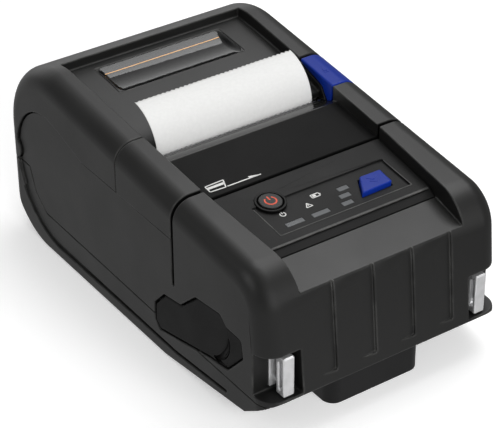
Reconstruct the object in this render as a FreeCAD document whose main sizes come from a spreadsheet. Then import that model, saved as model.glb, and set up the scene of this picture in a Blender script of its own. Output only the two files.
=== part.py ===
import FreeCAD, Part
import math
import os
import Sketcher

# Portable receipt printer for 58 mm paper. X to the right, Y to the rear, Z up,
# origin under the middle of the casing on the table. Lengths in mm, angles in degrees.

os.makedirs("parts", exist_ok=True)
doc = FreeCAD.newDocument("ReceiptPrinter")
sheet = doc.addObject("Spreadsheet::Sheet", "Sizes")

SIZES = [
    ("body_width", 86.0, "over the rails"),
    ("body_length", 148.0, "front chin to rear wall"),
    ("floor_level", 0.6, "underside of the casing above the table"),
    ("deck_slope", 6.0, "fall of the rails to the front, lean of the front face"),
    ("deck_height", 60.9, "rail line above the origin"),
    ("chin_height", 14.0, "lower edge of the front face"),
    ("belly_start", -20.0, "where the underside starts to rise"),
    ("belly_break", -62.0, "where the underside turns up to the chin"),
    ("belly_rise", 5.3, "rise of the underside up to that turn"),
    ("rear_top_round", 27.0, "rear upper corner in side view"),
    ("rear_low_round", 23.0, "rear lower corner in side view"),
    ("front_top_round", 14.0, "front shoulder in side view"),
    ("rail_round", 6.5, "rounding of rails and upright corners"),
    ("wall", 2.2, "casing wall"),
    ("side_wall", 3.2, "side wall with room for the side panel recess"),
    ("seam", 0.2, "visible gap between casing pieces"),
    ("move_gap", 0.3, "gap between pieces that move past each other"),
    ("panel_drop", 4.2, "middle cover and control panel below the rail line"),
    ("tear_start", -4.2, "where the middle cover starts to fall to the paper exit"),
    ("exit_level", 53.2, "end of that fall at the lid"),
    ("crease_y", -52.8, "front crease of the control panel"),
    ("panel_front", -55.8, "front edge of the control panel"),
    ("brow_level", 49.3, "casing in front of the control panel"),
    ("brow_end", 46.0, "end of the brow over the front face"),
    ("tear_bar_front", 1.4, "front of the tear bar"),
    ("tooth", 0.8, "half width and depth of the notches in the tear bar"),
    ("lid_front", 5.4, "front edge of the lid"),
    ("lid_low", 55.5, "lid surface at its front edge"),
    ("lid_high", 62.0, "lid surface at its rear edge"),
    ("lid_rear", 52.0, "rear end of the sunken lid surface"),
    ("lid_crown", 230.0, "radius of the slightly arched lid surface"),
    ("deck_half_rear", 33.8, "half width between the rails at the rear"),
    ("deck_half_slot", 32.0, "half width between the rails at the card slot"),
    ("deck_half_front", 28.8, "half width between the rails at the front"),
    ("arch_y", 47.0, "centre of the side panel arch"),
    ("arch_z", 30.0, "centre height of the side panel arch and hinge"),
    ("arch_top_r", 20.8, "upper radius of the side panel arch"),
    ("arch_low_r", 25.0, "lower radius of the side panel arch"),
    ("arch_flat", 7.0, "from the arch top to where its front side falls"),
    ("arch_fall", 1.4, "fall of the arch up to there"),
    ("arch_run", 21.0, "from the arch top to the lower edge of the rail"),
    ("rail_edge", 45.2, "lower edge of the rails on the side"),
    ("panel_depth", 1.0, "depth of the side panel at its rear end"),
    ("part_level", 12.6, "parting between upper and bottom case"),
    ("groove_width", 1.0, "groove above the rim"),
    ("groove_depth", 1.3, "groove above the rim"),
    ("groove_end", -53.0, "front end of the groove"),
    ("groove_lift", 1.9, "rise of the groove at its front end"),
    ("groove_bend", -26.0, "where the groove starts to rise"),
    ("part_bend", 52.0, "where the parting starts to rise to the hinge"),
    ("part_rise", 5.0, "first rise of the parting"),
    ("part_run", 6.5, "length of that rise"),
    ("part_last", 3.1, "length of the steep rise after it"),
    ("slot_y", -25.5, "middle of the card slot"),
    ("slot_width", 1.2, "card slot"),
    ("slot_floor", 29.0, "where the lower edge of a card runs"),
    ("rib_pitch", 14.17, "front scoops"),
    ("rib_width", 6.0, "front scoop"),
    ("rib_depth", 0.9, "front scoop"),
    ("rib_low", 3.7, "scoop start up the front face from the chin"),
    ("rib_length", 29.2, "scoop length up the front face"),
    ("hinge_y", 70.0, "lid hinge axis"),
    ("barrel_r", 4.0, "lid hinge barrel"),
    ("hinge_pin_r", 1.25, "lid hinge pin"),
    ("ear_x", 24.0, "inner face of the hinge ears"),
    ("ear_width", 6.0, "hinge ear"),
    ("ear_low", 16.0, "lower end of the hinge ears"),
    ("run_fit", 0.05, "radial running fit"),
    ("window_half", 23.5, "half width of the lid window"),
    ("window_front", 33.5, "front edge of the lid window"),
    ("window_rear", 48.5, "rear edge of the lid window"),
    ("lens_lip", 2.5, "lens flange under the lid"),
    ("lens_flange", 1.0, "thickness of the lens flange"),
    ("platen_y", 9.3, "platen axis"),
    ("platen_z", 47.0, "platen axis"),
    ("platen_r", 5.0, "platen roller"),
    ("platen_half", 28.75, "half length of the platen roller"),
    ("shaft_r", 1.5, "platen shaft"),
    ("bush_r", 3.0, "platen bush"),
    ("ear_in", 29.4, "inner face of the platen ears"),
    ("ear_thick", 2.2, "platen ear"),
    ("gear_module", 0.6, "drive gears"),
    ("platen_teeth", 18, "platen gear"),
    ("idler_teeth", 34, "idler gear"),
    ("pinion_teeth", 14, "motor pinion"),
    ("gear_slack", 0.1, "added to the gear centre distances"),
    ("gear_in", 33.0, "inner face of the gears, left of the middle"),
    ("gear_width", 2.6, "face width of the gears"),
    ("pinion_angle", 200.0, "direction from idler to pinion"),
    ("post_r", 1.25, "idler post"),
    ("motor_r", 7.5, "stepper motor can"),
    ("motor_length", 15.0, "stepper motor can"),
    ("motor_shaft_r", 0.75, "stepper motor shaft"),
    ("frame_sheet", 1.2, "steel frame sheet"),
    ("frame_half", 32.2, "outer half width of the steel frame"),
    ("frame_level", 17.0, "underside of the steel frame"),
    ("frame_front", -9.0, "front edge of the steel frame"),
    ("frame_nose", -18.0, "front edge of the frame side plates"),
    ("frame_rear", 15.0, "rear edge of the steel frame"),
    ("frame_top", 38.0, "top of the frame side plates"),
    ("head_face", 3.5, "front of the paper path at the head"),
    ("head_thick", 1.1, "ceramic head"),
    ("head_half", 28.9, "half length of the head"),
    ("sink_thick", 2.0, "head heat sink"),
    ("head_pin_z", 32.0, "head pivot"),
    ("head_pin_r", 1.0, "head pivot"),
    ("head_top", 50.0, "top of the head"),
    ("spring_r", 2.0, "head spring coil"),
    ("spring_wire", 0.3, "radius of the head spring wire"),
    ("spring_room", 5.0, "length of the head springs"),
    ("spring_drop", 5.5, "head springs below the top of the head"),
    ("spring_x", 15.0, "head spring position"),
    ("paper_half", 28.75, "half of the 57.5 mm paper width"),
    ("paper_thick", 0.2, "paper, thickened"),
    ("curl_r", 13.4, "curl of the paper strip"),
    ("curl_angle", 84.0, "arc of the paper strip"),
    ("strip_turn", 53.4, "height where the strip starts to curl"),
    ("roll_r", 21.5, "part-used paper roll"),
    ("core_r", 8.0, "roll core"),
    ("core_wall", 1.5, "roll core"),
    ("roll_y", 41.5, "roll axis"),
    ("bin_r", 22.5, "inside of the paper bin"),
    ("bin_z", 29.5, "axis of the paper bin"),
    ("bin_wall", 1.5, "paper bin"),
    ("bin_foot_x", 20.0, "feet of the paper bin"),
    ("bin_half", 29.4, "inside half width of the paper bin"),
    ("battery_half", 17.0, "half width of the battery pack"),
    ("battery_front", -68.5, "front face of the battery pack"),
    ("battery_rear", -6.0, "rear face of the battery pack"),
    ("battery_top", 12.4, "top of the battery pack"),
    ("battery_round", 4.0, "upright front edges of the battery pack"),
    ("tongue", 2.0, "battery tongue width and height"),
    ("tongue_front", -52.0, "front end of the battery tongues"),
    ("tongue_z", 8.6, "underside of the battery tongues"),
    ("tunnel_wall", 2.2, "walls around the battery"),
    ("board_level", 16.0, "underside of the main board"),
    ("board_thick", 1.6, "circuit boards"),
    ("board_half", 31.0, "half width of the main board"),
    ("board_front", -62.0, "main board"),
    ("board_rear", -13.5, "main board"),
    ("board_spot_x", 14.0, "main board screws"),
    ("board_spot_front", -54.0, "front main board screws"),
    ("board_spot_rear", -20.0, "rear main board screws"),
    ("board_boss_half", 2.5, "bosses under the main board"),
    ("board_screw_low", 13.4, "lower end of the main board screws"),
    ("frame_post_r", 3.0, "posts under the frame"),
    ("frame_screw_low", 8.5, "lower end of the frame screws"),
    ("frame_spot_x", 26.0, "frame screws"),
    ("frame_spot_front", -5.0, "front frame screws"),
    ("frame_spot_rear", 11.0, "rear frame screws"),
    ("small_screw_r", 0.9, "board and frame screws"),
    ("small_head_r", 1.9, "board and frame screws"),
    ("small_head", 1.2, "height of board and frame screw heads"),
    ("cover_thick", 1.6, "connector cover"),
    ("cover_axis_y", -15.8, "connector cover hinge axis"),
    ("port_front", -49.0, "opening for the sockets"),
    ("port_rear", -23.5, "opening for the sockets"),
    ("port_low", 17.0, "opening for the sockets"),
    ("port_high", 22.9, "opening for the sockets"),
    ("loop_x", 35.0, "middle of the strap loops"),
    ("loop_width", 3.9, "strap loop bar"),
    ("loop_low", 14.9, "strap loop"),
    ("loop_high", 28.6, "strap loop"),
    ("loop_bar", 1.7, "strap loop thickness"),
    ("loop_gap", 3.4, "room for the strap"),
    ("stud_r", 1.5, "strap loop stud"),
    ("pocket_in", 30.5, "inner side of the strap pocket"),
    ("pocket_floor", -66.3, "back of the strap pocket"),
    ("power_x", -14.8, "power button"),
    ("power_y", -35.4, "power button, along the deck"),
    ("power_r", 3.7, "power button"),
    ("ring_r", 4.85, "ring around the power button"),
    ("key_travel", 0.6, "button travel"),
    ("key_proud", 0.5, "buttons above the panel"),
    ("field_depth", 0.6, "recessed field of the control panel"),
    ("field_left", -21.3, "recessed field"),
    ("field_right", 26.2, "recessed field"),
    ("field_rear", -35.2, "recessed field, along the deck"),
    ("field_front", -49.8, "recessed field, along the deck"),
    ("key_board_drop", 10.5, "underside of the panel board below the deck"),
    ("key_board_half", 28.0, "half width of the panel board"),
    ("key_board_front", -53.0, "panel board, along the deck"),
    ("key_board_rear", -32.0, "panel board, along the deck"),
    ("panel_post_x", 25.5, "posts over the panel board"),
    ("panel_post_y", -44.0, "posts over the panel board, along the deck"),
    ("ledge_front", -52.0, "ledges under the control panel"),
    ("ledge_rear", -30.0, "ledges under the control panel"),
    ("ledge_thick", 1.8, "ledges under the control panel"),
    ("switch_half", 3.0, "key switch"),
    ("switch_high", 3.4, "key switch"),
    ("knob_high", 0.7, "knob of a key switch"),
    ("lever_in", 34.2, "inner side of the lever block"),
    ("skirt_in", 32.6, "inner side of the lever skirt"),
    ("lever_front", -1.5, "front end of the lever"),
    ("lever_rear", 16.0, "rear end of the lever"),
    ("lever_low", 54.9, "underside of the lever block"),
    ("lever_slant", 0.136, "set-back of the lever front per height below the pivot"),
    ("leg_low", 53.6, "lower end of the lever skirt"),
    ("leg_rear", 1.2, "rear corner of that end"),
    ("skirt_y", 4.2, "where the skirt turns to the rear"),
    ("skirt_low", 58.0, "skirt edge at that turn"),
    ("skirt_high", 61.2, "skirt edge at the rear"),
    ("hook_front", 0.0, "lever hook"),
    ("hook_thick", 2.0, "lever hook"),
    ("hook_width", 3.4, "lever hook"),
    ("hook_low", 51.0, "lever hook"),
    ("lever_axis_y", 15.0, "lever pivot"),
    ("lever_axis_z", 59.0, "lever pivot"),
    ("lever_pin_r", 1.0, "lever pivot"),
    ("screw_r", 1.2, "case screw"),
    ("screw_head_r", 2.4, "case screw"),
    ("screw_head", 1.6, "height of the case screw heads"),
    ("screw_sink", 3.4, "case screw heads below the parting"),
    ("screw_end", 21.5, "upper end of the case screws"),
    ("boss_r", 3.4, "case screw bosses"),
    ("post_half", 3.0, "case screw posts"),
    ("post_top", 26.0, "upper end of the case screw posts"),
    ("screw_x", 35.5, "case screw"),
    ("screw_front", -56.0, "front case screws"),
    ("screw_rear", 24.0, "rear case screws"),
    ("foot_r", 4.0, "rubber foot"),
    ("foot_x", 27.0, "rubber foot"),
    ("foot_y", 38.0, "rear rubber feet"),
    ("foot_front", -4.0, "front rubber feet"),
    ("foot_sink", 0.6, "depth of the feet in the casing"),
]

for row, (alias, value, note) in enumerate(SIZES, start=1):
    sheet.set("A%d" % row, note)
    sheet.set("B%d" % row, str(value))
    sheet.setAlias("B%d" % row, alias)
doc.recompute()


class Size:
    """A number together with the sheet expression that it comes from."""

    def __init__(self, value, text):
        self.value = float(value)
        self.text = text

    def _join(self, other, sign, value):
        return Size(value, "(%s %s %s)" % (self.text, sign, size(other).text))

    def __add__(self, other):
        return self._join(other, "+", self.value + size(other).value)

    def __sub__(self, other):
        return self._join(other, "-", self.value - size(other).value)

    def __mul__(self, other):
        return self._join(other, "*", self.value * size(other).value)

    def __truediv__(self, other):
        return self._join(other, "/", self.value / size(other).value)

    def __radd__(self, other):
        return size(other) + self

    def __rsub__(self, other):
        return size(other) - self

    def __rmul__(self, other):
        return size(other) * self

    def __neg__(self):
        return Size(-self.value, "(0 - %s)" % self.text)


def size(number):
    """Return a plain number as a Size."""
    if isinstance(number, Size):
        return number
    return Size(number, "(%r)" % float(number))


def sine(angle):
    """Return the sine of an angle in degrees."""
    return Size(math.sin(math.radians(angle.value)), "sin(%s)" % angle.text)


def cosine(angle):
    """Return the cosine of an angle in degrees."""
    return Size(math.cos(math.radians(angle.value)), "cos(%s)" % angle.text)


def tangent(angle):
    """Return the tangent of an angle in degrees."""
    return Size(math.tan(math.radians(angle.value)), "tan(%s)" % angle.text)


class Sheet:
    """Gives the cells of the sheet as Size values by their alias."""

    def __getattr__(self, alias):
        return Size(getattr(sheet, alias), "Sizes." + alias)


D = Sheet()
parts = []


def bind(item, name, value):
    """Bind a property of a document object to a sheet expression."""
    item.setExpression(name, size(value).text)


def keep(node, item):
    """Label a finished sub-part with its node name and list it for writing."""
    item.Label = node
    parts.append((node, item))
    return item


def box(name, x, y, z):
    """Return a box from its low and high side along each axis."""
    solid = doc.addObject("Part::Box", name)
    for side, axis, span in (("Length", "x", x), ("Width", "y", y), ("Height", "z", z)):
        bind(solid, side, size(span[1]) - span[0])
        bind(solid, "Placement.Base." + axis, span[0])
    return solid


TURNS = {
    "X": (FreeCAD.Rotation(FreeCAD.Vector(0, 1, 0), 90), "x", "yz"),
    "Y": (FreeCAD.Rotation(FreeCAD.Vector(1, 0, 0), -90), "y", "xz"),
    "Z": (FreeCAD.Rotation(), "z", "xy"),
}


def rod(name, axis, centre, radius, span):
    """Return a cylinder along an axis, given its centre across it and its ends."""
    solid = doc.addObject("Part::Cylinder", name)
    turn, along, across = TURNS[axis]
    solid.Placement = FreeCAD.Placement(FreeCAD.Vector(), turn)
    bind(solid, "Radius", radius)
    bind(solid, "Height", size(span[1]) - span[0])
    bind(solid, "Placement.Base." + along, span[0])
    for letter, place in zip(across, centre):
        bind(solid, "Placement.Base." + letter, place)
    return solid


def arc_edge(start, end, radius):
    """Return an arc between two points, turning left for a positive radius."""
    chord = end - start
    rise = math.sqrt(max(radius * radius - chord.Length ** 2 / 4.0, 0.0))
    left = FreeCAD.Vector(-chord.y, chord.x, 0).normalize()
    centre = (start + end) * 0.5 + left * math.copysign(rise, radius)
    first, last = (start, end) if radius > 0 else (end, start)
    angle_first = math.atan2(first.y - centre.y, first.x - centre.x)
    angle_last = math.atan2(last.y - centre.y, last.x - centre.x)
    circle = Part.Circle(centre, FreeCAD.Vector(0, 0, 1), abs(radius))
    return Part.ArcOfCircle(circle, angle_first, angle_last)


def outline_sketch(body, plane, outline):
    """Add a closed sketch to a body. A third number in a point makes the edge to it an arc."""
    sketch = body.newObject("Sketcher::SketchObject", body.Name + "_sketch")
    support = [item for item in body.Origin.OriginFeatures if item.Role == plane + "_Plane"]
    sketch.AttachmentSupport = [(support[0], "")]
    sketch.MapMode = "FlatFace"
    spots = [FreeCAD.Vector(size(p[0]).value, size(p[1]).value, 0) for p in outline]
    count = len(outline)
    ends = []
    for index in range(count):
        previous = index - 1
        radius = size(outline[index][2]) if len(outline[index]) > 2 else None
        if radius is None:
            sketch.addGeometry(Part.LineSegment(spots[previous], spots[index]), False)
            ends.append((1, 2))
        else:
            sketch.addGeometry(arc_edge(spots[previous], spots[index], radius.value), False)
            ends.append((1, 2) if radius.value > 0 else (2, 1))
    for index in range(count):
        following = (index + 1) % count
        sketch.addConstraint(
            Sketcher.Constraint("Coincident", index, ends[index][1], following, ends[following][0]))
    for index, point in enumerate(outline):
        for kind, place in (("DistanceX", point[0]), ("DistanceY", point[1])):
            number = sketch.addConstraint(
                Sketcher.Constraint(kind, -1, 1, index, ends[index][1], size(place).value))
            sketch.setExpression("Constraints[%d]" % number, size(place).text)
        if len(point) > 2:
            radius = size(point[2])
            number = sketch.addConstraint(Sketcher.Constraint("Radius", index, abs(radius.value)))
            sketch.setExpression("Constraints[%d]" % number, "abs(%s)" % radius.text)
    return sketch


def prism(name, plane, outline, span):
    """Return a padded outline. YZ outlines run along X, XY ones along Z, XZ ones along Y."""
    body = doc.addObject("PartDesign::Body", name)
    sketch = outline_sketch(body, plane, outline)
    pad = body.newObject("PartDesign::Pad", name + "_pad")
    pad.Profile = sketch
    bind(pad, "Length", size(span[1]) - span[0])
    letter = {"YZ": "x", "XY": "z", "XZ": "y"}[plane]
    bind(body, "Placement.Base." + letter, span[1] if plane == "XZ" else span[0])
    return body


def fuse(name, *items):
    """Return the union of solids."""
    joined = doc.addObject("Part::MultiFuse", name)
    joined.Shapes = list(items)
    joined.Refine = True
    return joined


def cut(name, base, *tools):
    """Return a solid with others taken away from it."""
    for number, tool in enumerate(tools):
        label = name if number == len(tools) - 1 else "%s_cut%d" % (name, number)
        taken = doc.addObject("Part::Cut", label)
        taken.Base = base
        taken.Tool = tool
        base = taken
    return base


def common(name, *items):
    """Return what solids share."""
    shared = doc.addObject("Part::MultiCommon", name)
    shared.Shapes = list(items)
    return shared


def mirror(name, item):
    """Return the mirror image on the other side of the printer."""
    image = doc.addObject("Part::Mirroring", name)
    image.Source = item
    image.Normal = FreeCAD.Vector(1, 0, 0)
    return image


def tube(name, axis, centre, radii, span):
    """Return a hollow cylinder."""
    return cut(name, rod(name + "_outer", axis, centre, radii[1], span),
               rod(name + "_bore", axis, centre, radii[0], (size(span[0]) - 1, size(span[1]) + 1)))


def round_edges(name, item, chosen, radius):
    """Return a solid with the chosen edges rounded."""
    doc.recompute()
    rounded = doc.addObject("Part::Fillet", name)
    rounded.Base = item
    picked = [n for n, edge in enumerate(item.Shape.Edges, start=1) if chosen(edge)]
    rounded.Edges = [(number, radius.value, radius.value) for number in picked]
    return rounded


half_width = D.body_width / 2
rear = D.body_length / 2
front = -rear
lean = tangent(D.deck_slope)
FAR = 95.0
DEEP = -12.0
plan_front = front - 3


def deck(y):
    """Return the height of the rail line at a place along the printer."""
    return D.deck_height + lean * y


def front_face(z):
    """Return the place of the front face at a height."""
    return front + lean * (size(z) - D.chin_height)


# Rail line and front face meet at a right angle
shoulder_y = (front + lean * (D.deck_height - D.chin_height)) / (1 - lean * lean)


def envelope(name, inset, side):
    """Return the outer form of the casing, drawn in by a wall where one is given."""
    x = half_width - side
    top = inset / cosine(D.deck_slope)
    low_front = front_face(0) + top
    corner_y = shoulder_y + (inset * cosine(D.deck_slope) + inset * sine(D.deck_slope))
    corner_z = deck(corner_y) - top
    back = rear - inset
    base = prism(name + "_block", "YZ", [
        (low_front, 0), (back, 0), (back, deck(back) - top), (corner_y, corner_z)], (-x, x))
    doc.recompute()

    def upper_rear(edge):
        mid = edge.CenterOfMass
        return abs(mid.x) < 0.01 and mid.z > 1 and mid.y > 0

    def upper_front(edge):
        mid = edge.CenterOfMass
        return abs(mid.x) < 0.01 and mid.z > 1 and mid.y < 0

    def contour(edge):
        mid = edge.CenterOfMass
        return abs(abs(mid.x) - x.value) < 0.01 and mid.z > 1

    first = round_edges(name + "_rear", base, upper_rear, D.rear_top_round - inset)
    second = round_edges(name + "_front", first, upper_front, D.front_top_round - inset)
    third = round_edges(name + "_rails", second, contour, D.rail_round - inset)
    low = D.floor_level + inset
    turn = D.floor_level + D.belly_rise
    chin_rise = (D.chin_height - turn) / (D.belly_break - front)
    round_low = D.rear_low_round - inset
    keel = prism(name + "_keel", "YZ", [
        (back, low + round_low, round_low), (back, FAR), (-FAR, FAR),
        (-FAR, turn + inset + chin_rise * (D.belly_break + FAR)), (D.belly_break, turn + inset),
        (D.belly_start, low),
        (back - round_low, low)], (-half_width - 5, half_width + 5))
    return common(name, third, keel)


def panel(y):
    """Return the height of middle cover and control panel at a place along the printer."""
    return deck(y) - D.panel_drop


def exit_fall(y):
    """Return the height of the middle cover where it falls to the paper exit."""
    share = (size(y) - D.tear_start) / (D.lid_front - D.tear_start)
    return panel(D.tear_start) + (D.exit_level - panel(D.tear_start)) * share


def deck_half(y):
    """Return half the width between the rails at a place in front of the card slot."""
    share = (D.slot_y - y) / (D.slot_y - plan_front)
    return D.deck_half_slot + (D.deck_half_front - D.deck_half_slot) * share


def tilted(item):
    """Lay a solid drawn level, deck at zero, onto the slope of the deck."""
    turn = FreeCAD.Rotation(FreeCAD.Vector(1, 0, 0), D.deck_slope.value)
    item.Placement = FreeCAD.Placement(FreeCAD.Vector(), turn)
    bind(item, "Placement.Rotation.Angle", D.deck_slope)
    bind(item, "Placement.Base.z", panel(0))
    return item


def recess(name, drop):
    """Return the room between the rails above lid, middle cover and control panel."""
    slope_end = front_face(D.brow_end) - 2
    plan_rear = D.lid_rear + 8
    side_view = prism(name + "_side", "YZ", [
        (D.lid_rear + drop, FAR), (D.lid_rear + drop, D.lid_high - drop),
        (D.lid_front, D.lid_low - drop, D.lid_crown), (D.lid_front, D.exit_level - drop),
        (D.tear_start, panel(D.tear_start) - drop), (D.crease_y, panel(D.crease_y) - drop),
        (D.panel_front, D.brow_level - drop), (slope_end, D.brow_end - drop),
        (slope_end, FAR)], (-half_width, half_width))
    plan = prism(name + "_plan", "XY", [
        (D.deck_half_rear + drop, plan_rear), (-D.deck_half_rear - drop, plan_rear),
        (-D.deck_half_slot - drop, D.slot_y), (-D.deck_half_front - drop, plan_front),
        (D.deck_half_front + drop, plan_front), (D.deck_half_slot + drop, D.slot_y)], (D.arch_z, FAR))
    return common(name, side_view, plan)


def arch(gap, start, end):
    """Return outline points over the side panel from its rear end forward."""
    radius = D.arch_top_r + gap
    return [
        (D.arch_y + radius, D.arch_z), (D.arch_y, D.arch_z + radius, radius),
        (D.arch_y - D.arch_flat, D.arch_z + radius - D.arch_fall),
        (D.arch_y - D.arch_run, D.rail_edge + gap),
        (start, D.rail_edge + gap), (start, end)]


# Outer form with side panels and the groove above the rim
form = envelope("form", size(0), size(0))
hollow = envelope("hollow", D.wall, D.side_wall)
top_room = recess("top_room", size(0))
top_under = recess("top_under", D.wall)
cavity = cut("cavity", hollow, top_under)

arch_rear = D.arch_y + D.arch_top_r
low_centre = arch_rear - D.arch_low_r
panel_floor = D.arch_z - D.arch_low_r
side_outline = prism("side_outline", "YZ", [
    (D.slot_y, panel_floor), (low_centre, panel_floor), (arch_rear, D.arch_z, D.arch_low_r),
    (D.arch_y, D.arch_z + D.arch_top_r, D.arch_top_r),
    (D.arch_y - D.arch_flat, D.arch_z + D.arch_top_r - D.arch_fall),
    (D.arch_y - D.arch_run, D.rail_edge),
    (D.slot_y, D.rail_edge)], (half_width - 4, half_width + 4))
side_wedge = prism("side_wedge", "XY", [
    (half_width, D.slot_y), (half_width + 3, D.slot_y), (half_width + 3, rear),
    (half_width - D.panel_depth, rear)], (0, FAR))
side_right = common("side_right", side_outline, side_wedge)
side_left = mirror("side_left", side_right)

# The groove ends 30 degrees below the middle of the arch
GROOVE_COS = math.cos(math.radians(30.0))
groove_r = D.arch_low_r + D.groove_width
groove_right = prism("groove_right", "YZ", [
    (D.groove_end, panel_floor + D.groove_lift + D.groove_width),
    (D.groove_end, panel_floor + D.groove_lift),
    (D.groove_bend, panel_floor - D.groove_width / 2),
    (low_centre, panel_floor - D.groove_width),
    (low_centre + groove_r * GROOVE_COS, D.arch_z - groove_r / 2, groove_r),
    (low_centre + D.arch_low_r * GROOVE_COS, D.arch_z - D.arch_low_r / 2),
    (low_centre, panel_floor, -D.arch_low_r), (D.groove_bend, panel_floor + D.groove_width / 2)],
    (half_width - D.groove_depth, half_width + 4))
groove_left = mirror("groove_left", groove_right)
casing = cut("casing", form, top_room, side_right, side_left, groove_right, groove_left)

# Lid
part_rear = D.hinge_y - D.barrel_r - D.move_gap
hinge = (D.hinge_y, D.arch_z)
trough_r = D.barrel_r + D.move_gap
trough_low = D.arch_z - trough_r
lid_zone = prism("lid_zone", "YZ", arch(D.move_gap, D.lid_front, FAR) + [
    (FAR, FAR), (FAR, D.arch_z)], (-half_width - 5, half_width + 5))
lid_skin = cut("lid_skin", common("lid_block", casing, lid_zone), cavity)
barrel = common("barrel", form, rod(
    "barrel_rod", "X", hinge, D.barrel_r, (-half_width - 1, half_width + 1)))
ear_end = D.ear_x + D.ear_width
ears_in = D.ear_in + D.ear_thick
ear_blocks = []
for side in (1, -1):
    spans = sorted((D.ear_in * side, ears_in * side), key=lambda s: s.value)
    ear_blocks.append(box("platen_ear%d" % (side + 1), spans,
                          (D.lid_front + D.move_gap, D.platen_y + D.bush_r + D.wall),
                          (D.platen_z - D.bush_r - 1.4, D.lid_low - 0.6)))
shelf = common("lever_shelf", form, box(
    "lever_shelf_box", (D.lever_in - 1.2, half_width - 2), (D.lid_front, D.lever_rear + 2),
    (D.lever_low - 2.4, D.lever_low - 0.4)))
lid_whole = fuse("lid_whole", lid_skin, barrel, shelf, *ear_blocks)
block_room = box("block_room", (D.lever_in - D.move_gap, half_width + 2),
                 (D.lever_front - D.move_gap, D.lever_rear + 3 * D.move_gap),
                 (D.lever_low - D.move_gap, FAR))
skirt_room = prism("skirt_room", "YZ", [
    (D.lever_front - D.move_gap, D.leg_low - D.move_gap), (D.leg_rear + D.move_gap, D.leg_low - D.move_gap),
    (D.skirt_y + D.move_gap, D.skirt_low - D.move_gap),
    (D.lever_rear + 3 * D.move_gap, D.skirt_high - D.move_gap), (D.lever_rear + 3 * D.move_gap, FAR),
    (D.lever_front - D.move_gap, FAR)], (D.skirt_in - D.move_gap, D.lever_in + D.move_gap))
lever_room = fuse("lever_room", block_room, skirt_room)
window_room = box("window_room", (-D.window_half, D.window_half),
                  (D.window_front, D.window_rear), (D.rail_edge, FAR))
knuckle_rooms = []
for side in (1, -1):
    spans = sorted(((D.ear_x - D.move_gap) * side, (ear_end + D.move_gap) * side),
                   key=lambda s: s.value)
    knuckle_rooms.append(rod("knuckle_room%d" % (side + 1), "X", hinge, D.barrel_r + 0.1, spans))
pin_end = half_width - 6
LEVER_HOLE = (31.0, 36.0)
lid_bore = rod("lid_bore", "X", hinge, D.hinge_pin_r + D.run_fit, (-pin_end, pin_end))
bush_bore = rod("bush_bore", "X", (D.platen_y, D.platen_z), D.bush_r,
                (-ears_in - 0.5, ears_in + 0.5))
lever_hole = rod("lever_hole", "X", (D.lever_axis_y, D.lever_axis_z), D.lever_pin_r, LEVER_HOLE)
keep("lid", cut("lid", lid_whole, lever_room, window_room, knuckle_rooms[0], knuckle_rooms[1],
                lid_bore, bush_bore, lever_hole))
keep("hinge_pin", rod("hinge_pin", "X", hinge, D.hinge_pin_r, (-pin_end, pin_end)))

# Window lens with a flange under the lid
lens_seat = recess("lens_seat", D.wall + D.run_fit)
lens_top = common("lens_top", box(
    "lens_box", (-D.window_half + D.seam, D.window_half - D.seam),
    (D.window_front + D.seam, D.window_rear - D.seam), (D.rail_edge, FAR)), lens_seat)
lens_low = common("lens_low", box(
    "lens_flange_box", (-D.window_half - D.lens_lip, D.window_half + D.lens_lip),
    (D.window_front - D.lens_lip, D.window_rear + D.lens_lip), (D.rail_edge, FAR)),
    recess("lens_under", D.wall + D.lens_flange))
lens_plate = cut("lens_plate", lens_low, lens_seat)
keep("lid_window", fuse("lid_window", cut("lens_pane", lens_top, top_room), lens_plate))

# Middle cover and tear bar
slot_front = D.slot_y - D.slot_width / 2
slot_rear = D.slot_y + D.slot_width / 2
mid_end = D.lid_front - D.move_gap
mid_zone = box("mid_zone", (-half_width - 2, half_width + 2), (slot_rear, mid_end),
               (D.rail_edge, FAR))
tear_front = D.tear_bar_front
tear_room = box("tear_room", (-D.deck_half_slot, D.deck_half_slot), (tear_front, FAR), (D.rail_edge, FAR))
leg_room = box("leg_room", (D.lever_in - D.move_gap, D.lever_in + D.hook_width + 2 * D.move_gap),
               (D.lever_front - D.move_gap, mid_end + 1), (D.rail_edge - 1, FAR))
mid_skin = cut("mid_skin", common("mid_block", casing, mid_zone), cavity)
keep("middle_cover", cut("middle_cover", mid_skin, tear_room, lever_room, leg_room))

tear_bar = doc.addObject("PartDesign::Body", "tear_bar")
tear_edge = D.head_face - 0.1
tear_sketch = outline_sketch(tear_bar, "YZ", [
    (tear_front, exit_fall(tear_front) - D.wall), (tear_edge, exit_fall(tear_front) - D.wall),
    (tear_edge, exit_fall(tear_edge)), (tear_front, exit_fall(tear_front))])
tear_pad = tear_bar.newObject("PartDesign::Pad", "tear_pad")
tear_pad.Profile = tear_sketch
bind(tear_pad, "Length", D.deck_half_slot * 2 - D.seam * 2)
tooth = outline_sketch(tear_bar, "XY", [
    (D.seam, tear_edge), (D.seam + D.tooth, tear_edge - D.tooth), (D.seam + D.tooth * 2, tear_edge)])
notch = tear_bar.newObject("PartDesign::Pocket", "tear_notch")
notch.Profile = tooth
notch.Type = 1
notch.Reversed = True
teeth_row = tear_bar.newObject("PartDesign::LinearPattern", "tear_teeth")
teeth_row.Originals = [notch]
teeth_row.Direction = (tooth, ["H_Axis"])
bind(teeth_row, "Length", D.deck_half_slot * 2 - D.seam * 2 - 3)
teeth_row.Occurrences = 30
tear_bar.Tip = teeth_row
bind(tear_bar, "Placement.Base.x", D.seam - D.deck_half_slot)
keep("tear_bar", tear_bar)

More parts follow.
